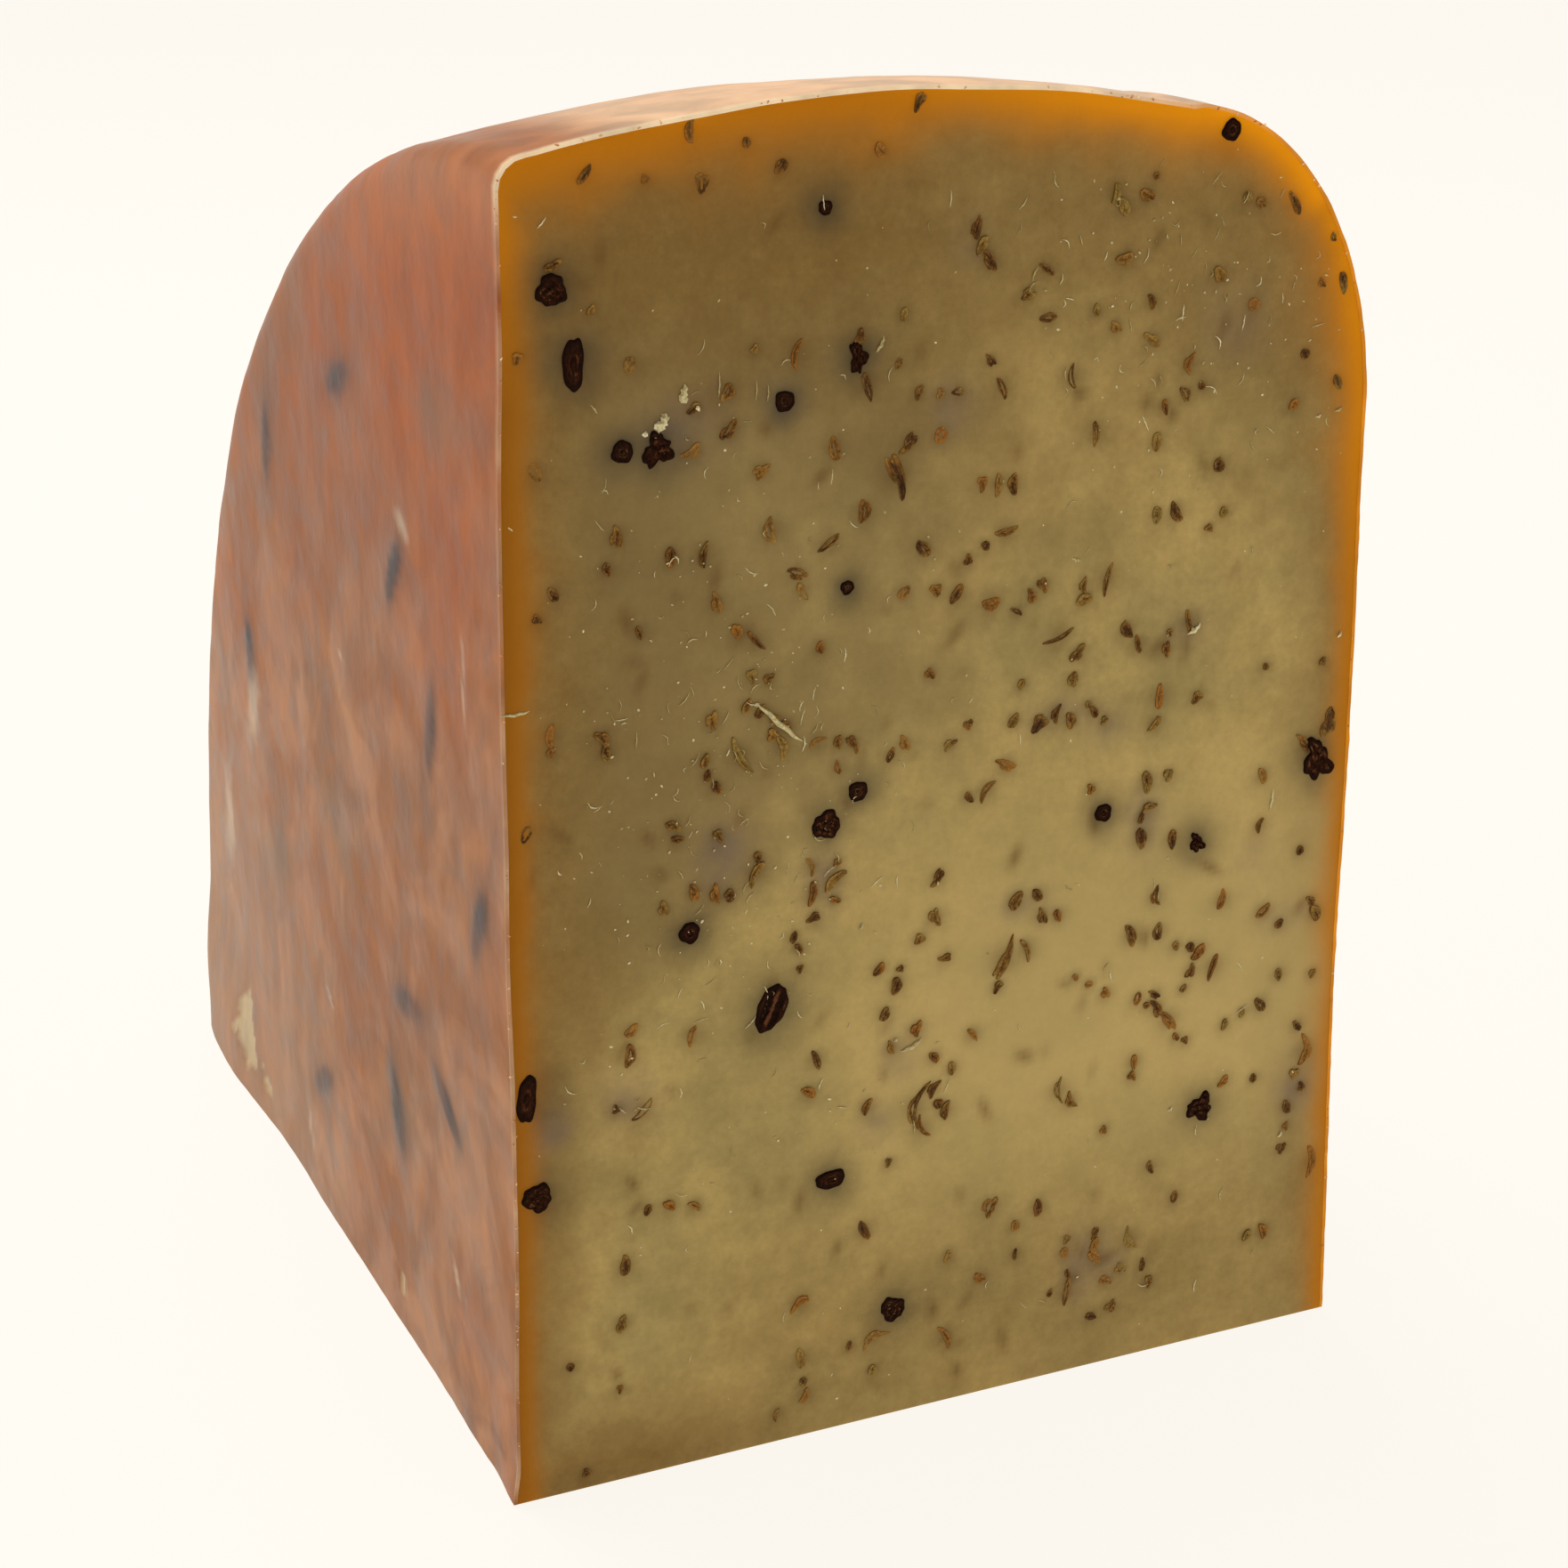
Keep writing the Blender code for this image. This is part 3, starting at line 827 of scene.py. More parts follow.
    def build(self) -> tuple[np.ndarray, list, np.ndarray]:
        """Build the plug.

        Returns:
            Its corners, its faces and a tone for each corner.
        """
        spice = self.spice
        rings, spokes = self.rings()
        turn = np.arange(spokes) / spokes * 2 * math.pi
        reach = self.outline(turn)
        shares = np.concatenate([(np.arange(rings) + 1) / rings, [1.03, 0.97, 0.6]])
        sunk = np.concatenate([np.zeros(rings), [0.16 * MM, 0.5 * MM, self.depth]])
        along = np.concatenate([[0], (shares[:, None] * (reach * np.cos(turn))).ravel(), [0]])
        side = np.concatenate([[0], (shares[:, None] * (reach * np.sin(turn))).ravel(), [0]])
        bow = self.rng.uniform(-0.5, 0.5) * (spice.long / spice.short - 1)
        if spice.kind not in SMALL:
            bow *= 0.2
        share = np.concatenate([[0], np.repeat(np.minimum(shares, 1.0), spokes), [0]])
        drop = np.concatenate([[0], np.repeat(sunk, spokes), [self.depth * 1.1]])
        height, tone = self.relief(share, side, along)
        height = np.where(drop > 0, 0, height) + self.proud - drop
        height[1 + (rings - 1) * spokes:1 + rings * spokes] = self.proud * 0.75
        tone = np.where(drop > 0, 0.5 if spice.kind in SMALL else 0.12, tone)
        upward, outward = (np.array(way) for way in spice.cut.value)
        across = np.array([1.0, 0.0, 0.0])
        heading = across * math.sin(spice.lean) + upward * math.cos(spice.lean)
        sideways = across * math.cos(spice.lean) - upward * math.sin(spice.lean)
        points = (np.array(spice.centre) + np.outer(along * spice.long, heading)
                  + np.outer((side + bow * (along ** 2 - 0.4)) * spice.short, sideways)
                  + np.outer(height, outward))
        after = [(spoke + 1) % spokes for spoke in range(spokes)]
        faces = [[0, 1 + after[k], 1 + k] for k in range(spokes)]
        for first in range(1, 1 + (len(shares) - 1) * spokes, spokes):
            following = first + spokes
            faces += [[first + k, first + after[k], following + after[k], following + k]
                      for k in range(spokes)]
        last, end = len(tone) - 1 - spokes, len(tone) - 1
        faces += [[last + k, last + after[k], end] for k in range(spokes)]
        return points, faces, tone


@dataclass
class CutSpices:
    """Every cut spice as pieces, each with its section showing and its root in the paste."""

    bed: SpiceBed

    def plug_piece(self, name: str, spices: list[CutSpice], finish: "Finish", seed: int) -> bpy.types.Object:
        """Build the sections of some spices as one piece.

        Args:
            name: the piece's name.
            spices: the spices in it.
            finish: what they are made of.
            seed: picks their outlines and colours.

        Returns:
            The piece, dressed.
        """
        rng = random.Random(seed)
        plugs, tones, hues = [], [], []
        for spice in spices:
            points, faces, tone = SectionPlug(spice, rng, self.proud(spice, rng)).build()
            plugs.append((points, faces))
            tones.append(tone)
            hues.append(np.full(len(points), rng.random()))
        piece = mesh_piece(name, *join_shapes(plugs))
        paint(piece, "tone", np.concatenate(tones))
        paint(piece, "hue", np.concatenate(hues))
        piece.data.materials.append(finish.material())
        return piece

    @staticmethod
    def proud(spice: CutSpice, rng: random.Random) -> float:
        """Choose how far a spice stands out of its cut: hardly at all where the block stands on it.

        Args:
            spice: the spice.
            rng: chooses.

        Returns:
            The distance in metres.
        """
        if spice.cut is Cut.BASE:
            return 0.03 * MM
        return rng.uniform(0.03, 0.07) * MM

    def build(self, clove: "Finish", husk: "Finish") -> list[bpy.types.Object]:
        """Build all the sections.

        Args:
            clove: the cloves' finish.
            husk: the cumin seeds' finish.

        Returns:
            The pieces.
        """
        names = sorted(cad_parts)
        clove_nodes = [name for name in names if SpiceBed.is_cut_clove(name)]
        seed_nodes = [name for name in names if name.startswith("cumin")]
        pieces = []
        for nodes, spices, finish, slot, seed in (
            (clove_nodes, self.bed.cloves, clove, "dried_clove", 100),
            (seed_nodes, self.bed.seeds, husk, "cumin_husk", 200),
        ):
            for index, (node, spice) in enumerate(zip(nodes, spices)):
                piece = self.plug_piece(node + "_section", [spice], finish, seed + index)
                attach(piece, slot, node)
                pieces.append(piece)
        small = self.bed.seeds[len(seed_nodes):]
        for cut, name in ((Cut.FRONT, "cumin_drifts_front"), (Cut.BASE, "cumin_drifts_base")):
            piece = self.plug_piece(name, [spice for spice in small if spice.cut is cut], husk, 301)
            attach(piece, "cumin_husk")
            pieces.append(piece)
        return pieces


def attach(piece: bpy.types.Object, slot: str, *nodes: str) -> None:
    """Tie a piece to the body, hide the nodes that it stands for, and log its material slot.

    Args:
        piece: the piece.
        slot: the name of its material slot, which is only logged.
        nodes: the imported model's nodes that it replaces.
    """
    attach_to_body(piece, "root")
    if nodes:
        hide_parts(*nodes)
    LOG.info("%s: %d faces, %s", piece.name, len(piece.data.polygons), slot)


# ---------------------------------------------------------------- paste and coating


def distance_to(line: np.ndarray, places: np.ndarray) -> np.ndarray:
    """Measure how far places are from a line of closely spaced points.

    Args:
        line: the line's points, one row each.
        places: the places, one row each.

    Returns:
        The distances.
    """
    nearest = np.full(len(places), np.inf)
    for point in line:
        nearest = np.minimum(nearest, np.hypot(places[:, 0] - point[0], places[:, 1] - point[1]))
    return nearest


@dataclass
class CheesePaste:
    """The paste: two cut faces as fine patches, joined by the hidden surface under the coating."""

    block: Block
    bed: SpiceBed
    inset: float = 0.36 * MM
    columns: int = 156
    rows: int = 226
    turns: int = 24
    wave: float = 0.10 * MM
    wave_lengths: tuple[float, float] = (17.0 * MM, 6.0 * MM)
    grain: float = 0.03 * MM
    grain_length: float = 1.6 * MM
    dimple: float = 0.10 * MM
    dimple_margin: float = 0.9 * MM

    # Amber along the rind: how deep it goes from each side, and how much deeper high up.
    left_band: tuple[float, float] = (2.3 * MM, 0.7 * MM)
    rim_band: float = 5.2 * MM
    right_band: tuple[float, float] = (2.3 * MM, 3.2 * MM)

    # Seeds that lie just under the cut, shown only as painted shade through the paste.
    deep_seeds: int = 90

    # Colour that a spice gave the paste: mm from the left side and from the base, then half width,
    # half height and strength.
    STAINS = (
        (21.5, 121.0, 4.5, 3.5, 0.7), (32.7, 122.4, 2.2, 2.4, 0.5), (25.5, 73.5, 3.2, 4.0, 0.8),
        (37.5, 69.0, 3.0, 3.4, 0.7), (77.5, 69.5, 2.4, 4.2, 0.9), (71.5, 14.0, 2.4, 4.6, 0.8),
        (14.5, 47.0, 3.2, 3.4, 0.7), (100.5, 31.5, 3.0, 4.0, 0.7), (54.0, 137.0, 2.2, 2.4, 0.5),
        (52.0, 120.0, 2.4, 3.0, 0.7), (86.0, 126.0, 4.6, 4.2, 0.5), (82.0, 92.0, 3.0, 2.6, 0.5),
        (72.0, 82.0, 2.6, 2.4, 0.6), (93.0, 62.0, 2.8, 3.2, 0.4), (5.0, 45.5, 2.6, 2.4, 0.9),
        (47.0, 46.0, 2.6, 3.0, 0.6), (44.0, 38.0, 2.2, 3.0, 0.5), (66.5, 84.0, 4.6, 1.9, 0.6),
        (62.0, 61.5, 3.4, 2.2, 0.5), (75.5, 14.5, 2.6, 3.4, 0.7), (98.0, 54.6, 3.6, 2.0, 0.5),
    )

    def build(self, finish: "Finish") -> bpy.types.Object:
        """Build the paste.

        Args:
            finish: its finish.

        Returns:
            The piece.
        """
        left, rim, right = (np.array(side) for side in self.block.section.sides(self.inset))
        v, u = np.meshgrid(np.linspace(0, 1, self.rows), np.linspace(0, 1, self.columns), indexing="ij")
        left_line = even_points(left, self.rows)[:, None, :]
        right_line = even_points(right, self.rows)[:, None, :]
        top_line = even_points(rim, self.columns)[None, :, :]
        bottom_line = np.linspace(left[0], right[0], self.columns)[None, :, :]
        v, u = v[..., None], u[..., None]
        corners = ((1 - u) * (1 - v) * left[0] + u * (1 - v) * right[0]
                   + (1 - u) * v * left[-1] + u * v * right[-1])
        flat = (1 - u) * left_line + u * right_line + (1 - v) * bottom_line + v * top_line - corners
        border = np.concatenate([flat[:, 0], flat[-1, 1:], flat[-2::-1, -1]])
        patch = flat.reshape(-1, 2)
        front = self.block.place(patch[:, 0], patch[:, 1], 0.0)
        base = self.block.place(patch[:, 0], patch[:, 1], math.pi / 2)
        inside = np.zeros((self.rows, self.columns))
        inside[1:-1, 1:-1] = 1
        front[:, 1] -= inside.ravel() * self.relief(front, Cut.FRONT)
        base[:, 2] += inside.ravel() * np.maximum(-self.relief(base, Cut.BASE), 0)
        angles = np.linspace(0, math.pi / 2, self.turns + 1)
        skin = self.block.place(border[None, :, 0], border[None, :, 1], angles[:, None])
        faces = grid_faces(self.rows, self.columns) + grid_faces(self.rows, self.columns, len(front))
        faces += grid_faces(self.turns + 1, len(border), len(front) * 2)
        piece = mesh_piece("cheese_paste", np.concatenate([front, base, skin]), faces, weld=0.002 * MM)
        self.colour(piece)
        piece.data.materials.append(finish.material())
        attach(piece, "cheese_paste", "cheese_body")
        return piece

    def relief(self, points: np.ndarray, cut: Cut) -> np.ndarray:
        """Give the height of a cut face: slow knife waves, crumbly grain and dimples at the spices.

        Args:
            points: places on the cut.
            cut: which cut.

        Returns:
            Heights in metres, outwards.
        """
        long, short = self.wave_lengths
        height = self.wave * (lattice_noise(points, long, 7) + 0.5 * lattice_noise(points, short, 8))
        height += self.grain * lattice_noise(points, self.grain_length, 9)
        for spice in self.bed.cloves + self.bed.seeds:
            if spice.cut is cut:
                height -= self.dimple * np.exp(-(spice.gap(points) / (spice.long + self.dimple_margin)) ** 4)
        return height

    def colour(self, piece: bpy.types.Object) -> None:
        """Store where the rind, the drying and the spices have coloured the paste, and where glow and shade
        are painted on it.

        Args:
            piece: the paste.
        """
        points = corner_points(piece)
        across = points[:, 0] - self.block.low.x
        radius = np.hypot(points[:, 1] - self.block.low.y, points[:, 2] - self.block.low.z)
        flat = np.stack([across, radius], axis=1)
        wander = 1 + 0.30 * lattice_noise(points, 9 * MM, 31) + 0.16 * lattice_noise(points, 3 * MM, 32)
        depths = [distance_to(even_points(side, 160), flat) * wander for side in self.block.section.sides(0)]
        self.colour_by_rind(piece, across, radius, depths)
        self.colour_by_drying(piece, across, radius, depths)
        self.colour_by_spices(piece, points)

    def colour_by_rind(self, piece: bpy.types.Object, across: np.ndarray, radius: np.ndarray,
                       depths: list[np.ndarray]) -> None:
        """Store the amber along the rind, the painted glow where light would shine through it, and where it
        is dark.

        Args:
            piece: the paste.
            across: each corner's distance from the left side.
            radius: its distance from the axis.
            depths: its distances from the left side, the rim and the right side, a little uneven.
        """
        from_left, from_rim, from_right = depths
        high = smooth(radius, 70 * MM, 150 * MM)
        bands = [
            np.exp(-(from_left / (self.left_band[0] + self.left_band[1] * high)) ** 2),
            np.exp(-(from_rim / self.rim_band) ** 2),
            np.exp(-(from_right / (self.right_band[0] + self.right_band[1] * high)) ** 1.8),
        ]
        paint(piece, "amber", np.maximum.reduce(bands))
        # Painted glow: orange light through the rind, close under the rim and half as strong along the right
        # side, strongest towards the top right.
        painted_glow_through = np.maximum(
            np.exp(-(from_rim / (3.2 * MM)) ** 2), 0.5 * np.exp(-(from_right / (2.6 * MM)) ** 2)
        )
        upper = 0.25 + 0.75 * smooth(radius, 88 * MM, 128 * MM)
        paint(piece, "glow", painted_glow_through * smooth(across, 38 * MM, 84 * MM) * upper)
        deep = bands[0] * smooth(from_rim, 6 * MM, 22 * MM) + 0.5 * bands[2] * (1 - high)
        paint(piece, "deep", np.clip(deep, 0, 1))

    def colour_by_drying(self, piece: bpy.types.Object, across: np.ndarray, radius: np.ndarray,
                         depths: list[np.ndarray]) -> None:
        """Store where the cut has dried brown or grey, and where it is painted paler, as if lit by light
        bounced from the table.

        Args:
            piece: the paste.
            across: each corner's distance from the left side.
            radius: its distance from the axis.
            depths: its distances from the left side, the rim and the right side, a little uneven.
        """
        from_left, from_rim, from_right = depths
        left_reach = (15 + 42 * smooth(radius, 45 * MM, 90 * MM)) * MM
        drying = np.maximum.reduce([
            smooth(from_rim, 64 * MM, 12 * MM) * smooth(across, 96 * MM, 34 * MM),
            0.78 * smooth(from_rim, 54 * MM, 8 * MM),
            0.95 * smooth(radius, 17 * MM, 1 * MM) * (0.35 + 0.65 * smooth(across, 50 * MM, 8 * MM)),
            0.44 * smooth(radius, 40 * MM, 10 * MM) * smooth(across, 12 * MM, 34 * MM),
            0.86 * smooth(from_left / left_reach, 1.0, 0.05),
            0.66 * smooth(from_right, 15 * MM, 2 * MM),
        ])
        # Painted light: the cut is painted paler low down in the middle, as if lit by light bounced up from
        # the table.
        painted_bounce_light = smooth(radius, 88 * MM, 52 * MM) * smooth(radius, 14 * MM, 44 * MM)
        paint(piece, "pale", painted_bounce_light * smooth(across, 24 * MM, 62 * MM))
        level = smooth(radius, 52 * MM, 80 * MM) * smooth(radius, 140 * MM, 116 * MM)
        beside_left = smooth(from_left / left_reach, 1.1, 0.4) * smooth(from_left, 4 * MM, 14 * MM)
        paint(piece, "grey", beside_left * level)
        paint(piece, "drying", drying)

    def colour_by_spices(self, piece: bpy.types.Object, points: np.ndarray) -> None:
        """Store the stains round the spices, the painted shade round them, and the painted shade of seeds
        that lie just under the cut.

        Args:
            piece: the paste.
            points: its corners.
        """
        painted_spice_shade, stain, buried_seed_shade = np.zeros((3, len(points)))
        cloudy = 0.7 + 0.5 * lattice_noise(points, 2.6 * MM, 33) + 0.3 * lattice_noise(points, 1.1 * MM, 34)
        # Painted shade: a dark halo round each clove, and a faint one round each seed.
        for spice in self.bed.cloves:
            painted_spice_shade = np.maximum(painted_spice_shade, np.exp(-(spice.gap(points) / (spice.long * 0.8 + 1.9 * MM)) ** 2))
        # Each seed also gets a tighter, stronger painted shade of the part of it below the cut.
        for spice in self.bed.seeds:
            gap = spice.gap(points)
            painted_spice_shade = np.maximum(painted_spice_shade, 0.20 * np.exp(-(gap / (spice.long * 0.8 + 0.8 * MM)) ** 2))
            buried_seed_shade = np.maximum(buried_seed_shade, 0.55 * np.exp(-(gap / (spice.long * 0.5 + 0.6 * MM)) ** 2))
        on_front = np.abs(points[:, 1] - self.block.low.y) < 1 * MM
        cut_places = points[:, [2, 0]]
        for across, up, wide, tall, strength in self.STAINS:
            place = self.block.on_front(across, up)
            gap = spot(cut_places, (place.z, place.x), (tall * MM, wide * MM), 0.0)
            stain = np.maximum(stain, on_front * strength * np.exp(-(gap ** 2).sum(0)))
        paint(piece, "stain", np.clip(stain * cloudy, 0, 1))
        paint(piece, "painted_spice_shade", np.clip(painted_spice_shade * (0.5 + 0.5 * cloudy), 0, 1))
        # Painted shade of seeds buried just under the front cut, at random places.
        rng = random.Random(37)
        for _seed in range(self.deep_seeds):
            place = self.block.on_front(rng.uniform(3, 103), rng.uniform(3, 144))
            lean, long, short = rng.gauss(0, 0.5), rng.uniform(0.9, 2.0) * MM, rng.uniform(0.6, 0.9) * MM
            gap = spot(cut_places, (place.z, place.x), (long, short), lean)
            buried_seed_shade = np.maximum(buried_seed_shade, on_front * rng.uniform(0.3, 0.9) * np.exp(-(gap ** 2).sum(0)))
        paint(piece, "buried_seed_shade", buried_seed_shade)


@dataclass
class RindCoating:
    """The coloured coating over the rim and both flat sides, thin enough for the cloves to show."""

    block: Block
    thickness: float = 0.4 * MM
    along: int = 330
    turns: int = 190
    lining_turns: int = 38
    ragged: float = 0.16 * MM        # how far the coating's torn edge sticks out of the cut
    peel: tuple[float, float] = (0.05 * MM, 0.03 * MM)    # height of the orange peel, coarse and fine
    swelling: float = 0.14 * MM      # over a clove
    chip_depth: float = 0.30 * MM
    scuff_depth: float = 0.05 * MM

    # Marks low on the left side, each as mm behind the front cut and above the base, half sizes
    # in mm, and its lean in degrees.
    CHIPS = ((117.0, 10.0, 4.2, 4.2, 0), (113.5, 6.6, 2.4, 1.8, 20), (106.5, 5.2, 1.5, 1.1, 0),
             (108.4, 7.3, 0.9, 0.7, 40), (43.0, 6.2, 0.5, 1.5, 5), (122.6, 7.4, 1.3, 1.0, 10))
    SCUFFS = ((32.0, 105.0, 2.2, 1.0, 25), (104.0, 62.0, 6.0, 2.2, -60), (20.5, 18.0, 1.6, 0.5, 70),
              (60.0, 82.0, 1.2, 0.4, 10), (70.0, 33.0, 1.4, 0.4, 50), (12.0, 92.9, 3.4, 0.4, 90),
              (126.0, 38.0, 3.0, 6.0, 10), (84.0, 8.5, 3.0, 0.7, 80))
    SMUDGES = ((41.0, 30.0, 5.0, 4.0, 20), (17.5, 37.5, 1.2, 4.6, 33), (62.0, 58.0, 7.0, 3.0, 40),
               (95.0, 44.0, 8.0, 4.0, -30), (20.0, 120.0, 6.0, 3.0, 0))

    def outline(self, inset: float) -> np.ndarray:
        """Draw the outline from the left centre over the rim to the right centre.

        Args:
            inset: how far inside the wheel's surface it runs.

        Returns:
            Evenly spaced points.
        """
        left, rim, right = self.block.section.sides(inset)
        return even_points(left + rim[1:-1] + right[::-1], self.along)

    def build(self, finish: "Finish") -> bpy.types.Object:
        """Build the coating.

        Args:
            finish: its finish.

        Returns:
            The piece.
        """
        outside, inside = self.outline(0), self.outline(self.thickness)
        angles = np.linspace(0, math.pi / 2, self.turns + 1)
        lining_angles = angles[::self.turns // self.lining_turns]
        skin = self.block.place(outside[None, :, 0], outside[None, :, 1], angles[:, None])
        skin = skin.reshape(len(angles), self.along, 3)
        lining = self.block.place(inside[None, :, 0], inside[None, :, 1], lining_angles[:, None])
        lining = lining.reshape(len(lining_angles), self.along, 3)
        normal = np.cross(np.gradient(skin, axis=1), np.gradient(skin, axis=0))
        normal /= np.linalg.norm(normal, axis=2, keepdims=True) + 1e-12
        height = self.relief(skin.reshape(-1, 3)).reshape(skin.shape[:2])
        height[:, :2] = 0
        height[:, -2:] = 0
        skin = skin + normal * height[..., None]
        ragged = self.ragged * np.abs(lattice_noise(skin[0], 1.3 * MM, 41)) + 0.03 * MM
        skin[0, 1:-1, 1] -= ragged[1:-1]
        lining[0, 1:-1, 1] -= 0.5 * ragged[1:-1]
        first = len(angles) * self.along
        last = first + (len(lining_angles) - 1) * self.along
        faces = grid_faces(len(angles), self.along) + grid_faces(len(lining_angles), self.along, first)
        for outer, inner in ((0, first), (first - self.along, last)):
            faces += [[outer + k, outer + k + 1, inner + k + 1, inner + k] for k in range(self.along - 1)]
        points = np.concatenate([skin.reshape(-1, 3), lining.reshape(-1, 3)])
        piece = mesh_piece("rind_coating_skin", points, faces, weld=0.002 * MM)
        self.colour(piece)
        piece.data.materials.append(finish.material())
        attach(piece, "rind_coating", "rind_coating")
        return piece

    def marks(self, points: np.ndarray, table: tuple, soft: float) -> np.ndarray:
        """Give how strongly a set of marks on the left side shows.

        Args:
            points: places on the coating.
            table: the marks.
            soft: how soft their edges are, 0 to 1.

        Returns:
            Strengths from 0 to 1.
        """
        low = self.block.low
        near_left = points[:, 0] - low.x < 12 * MM
        ragged = 1 + 0.35 * lattice_noise(points, 2.4 * MM, 42) + 0.2 * lattice_noise(points, 0.9 * MM, 43)
        total = np.zeros(len(points))
        for back, up, long, short, lean in table:
            centre = (low.y + back * MM, low.z + up * MM)
            gap = np.hypot(*spot(points[:, 1:], centre, (long * MM, short * MM), math.radians(lean)))
            total = np.maximum(total, smooth(gap * ragged, 1 + soft, 1 - soft))
        return total * near_left

    def clove_shadows(self, points: np.ndarray) -> np.ndarray:
        """Give how strongly the cloves under the coating show through it.

        Args:
            points: places on the coating.

        Returns:
            Strengths from 0 to 1, each a dark core with a wide faint rim.
        """
        shade = np.zeros(len(points))
        for name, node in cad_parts.items():
            if not name.startswith("clove_side"):
                continue
            own = corner_points(node)
            middle = own.mean(0)
            flat = (own - middle)[:, 1:]
            turn = np.linalg.eigh(np.cov(flat.T))[1]
            reach = np.abs(flat @ turn).max(0)
            local = (points[:, 1:] - middle[1:]) @ turn
            gap = np.hypot(local[:, 0] / (reach[0] + 0.2 * MM), local[:, 1] / (reach[1] + 0.4 * MM))
            near = np.abs(points[:, 0] - middle[0]) < 12 * MM
            shown = 0.62 * smooth(gap, 1.1, 0.5) + 0.38 * smooth(gap, 2.2, 0.5)
            shade = np.maximum(shade, near * shown)
        return shade

    def relief(self, points: np.ndarray) -> np.ndarray:
        """Give the coating's height: orange peel, the cloves' faint swellings and the chips.

        Args:
            points: places on the coating.

        Returns:
            Heights in metres, outwards.
        """
        coarse, fine = self.peel
        height = coarse * lattice_noise(points, 5 * MM, 44) + fine * lattice_noise(points, 2.2 * MM, 45)
        height += self.swelling * self.clove_shadows(points)
        height -= self.chip_depth * self.marks(points, self.CHIPS, 0.16)
        height -= self.scuff_depth * self.marks(points, self.SCUFFS, 0.5)
        return height

    def colour(self, piece: bpy.types.Object) -> None:
        """Store where the cloves, chips, scuffs and handling have coloured the coating, where it is paler or
        darker in patches, and where a highlight and a glow are painted on its rim and edges.

        Args:
            piece: the coating.
        """
        points = corner_points(piece)
        across, back, up = (points - np.array(self.block.low)).T
        radius = np.hypot(back, up)
        cloudy = 0.8 + 0.3 * lattice_noise(points, 4 * MM, 46)
        paint(piece, "clove", np.clip(self.clove_shadows(points) * cloudy, 0, 1))
        paint(piece, "chip", self.marks(points, self.CHIPS, 0.12))
        paint(piece, "scuff", self.marks(points, self.SCUFFS, 0.7))
        paint(piece, "smudge", self.marks(points, self.SMUDGES, 0.9))
        on_left = smooth(across, 20 * MM, 8 * MM)
        # Paler low down towards the back of the left side.
        paler_low_back = on_left * smooth(up, 75 * MM, 12 * MM) * smooth(back, 45 * MM, 125 * MM)
        paint(piece, "paler_low_back", paler_low_back)
        high = smooth(up, 60 * MM, 140 * MM) * 0.8 + 0.2 * smooth(radius, 60 * MM, 140 * MM)
        paint(piece, "golden", np.clip(high + 0.35 * lattice_noise(points, 15 * MM, 47), 0, 1))
        # Painted highlight: the top of the rim is painted pale, as if catching the overhead light, strongest
        # at the front and weaker on the left side.
        under_rim = self.block.radius - 4 * MM - radius
        highlight_towards_front = 0.35 + 0.65 * smooth(back, 62 * MM, 4 * MM)
        paint(piece, "rim", smooth(under_rim, 16 * MM, -2 * MM) * (1 - on_left * 0.8) * highlight_towards_front)
        # Darker high up towards the back of the left side.
        darker_upper_back = np.exp(-((back - 74 * MM) / (40 * MM)) ** 2 - ((up - 112 * MM) / (24 * MM)) ** 2)
        paint(piece, "darker_upper_back", on_left * darker_upper_back * (0.8 + 0.4 * lattice_noise(points, 12 * MM, 49)))
        # A pale line along the coating's front edge: partly flakes of the torn coating, partly a painted
        # highlight, strongest along the top.
        upper = smooth(radius, 138 * MM, 148 * MM)
        broken = (0.62 + 0.38 * upper) + (0.8 - 0.5 * upper) * lattice_noise(points, 3 * MM, 48)
        torn_edge_and_highlight = smooth(back, 0.25 * MM, 0.05 * MM) * smooth(across, 96 * MM, 60 * MM)
        paint(piece, "torn_edge_and_highlight", torn_edge_and_highlight * np.clip(broken, 0, 1) * (0.28 + 0.72 * upper))
        # Painted glow: the coating's front edge on the right is painted bright amber, as if lit through.
        paint(piece, "edge", smooth(back, 0.9 * MM, 0.1 * MM) * smooth(across, 66 * MM, 92 * MM))


# ---------------------------------------------------------------- crumbs and shavings


@dataclass(frozen=True)
class Shaving:
    """A thin curl that the knife lifted: its ends, its bow to the side, width, thickness and lift."""

    start: tuple[float, float]
    end: tuple[float, float]
    bow: float = 0.0
    width: float = 0.4
    thick: float = 0.10
    lift: float = 0.12

    def build(self, block: Block, steps: int = 22) -> Shape:
        """Build the curl on the front cut.

        Args:
            block: the block it lies on.
            steps: rings along it.

        Returns:
            Its corners and faces.
        """
        start, end = block.on_front(*self.start), block.on_front(*self.end)
        along = end - start
        aside = Vector((along.z, 0, -along.x)).normalized()
        outward = Vector((0, -1, 0))
        points = []
        for index in range(steps + 1):
            share = index / steps
            arch = math.sin(math.pi * share)
            body = math.sin(math.pi * min(0.97, max(0.03, share))) ** 0.6
            wobble = 0.12 * math.sin(share * 17) * self.width
            middle = start + along * share + aside * (self.bow * arch + wobble) * MM
            middle += outward * (0.02 + self.lift * arch) * MM
            half = aside * (self.width / 2 * body * MM)
            deep = outward * (self.thick * (0.4 + 0.6 * body) * MM)
            points += [middle - half, middle - half * 0.5 + deep]
            points += [middle + half * 0.6 + deep * 0.8, middle + half]
        faces = [[3, 2, 1, 0]]
        for ring in range(0, steps * 4, 4):
            faces += [[ring + k, ring + (k + 1) % 4, ring + 4 + (k + 1) % 4, ring + 4 + k] for k in range(4)]
        faces.append([steps * 4 + k for k in range(4)])
        return np.array([tuple(point) for point in points]), faces


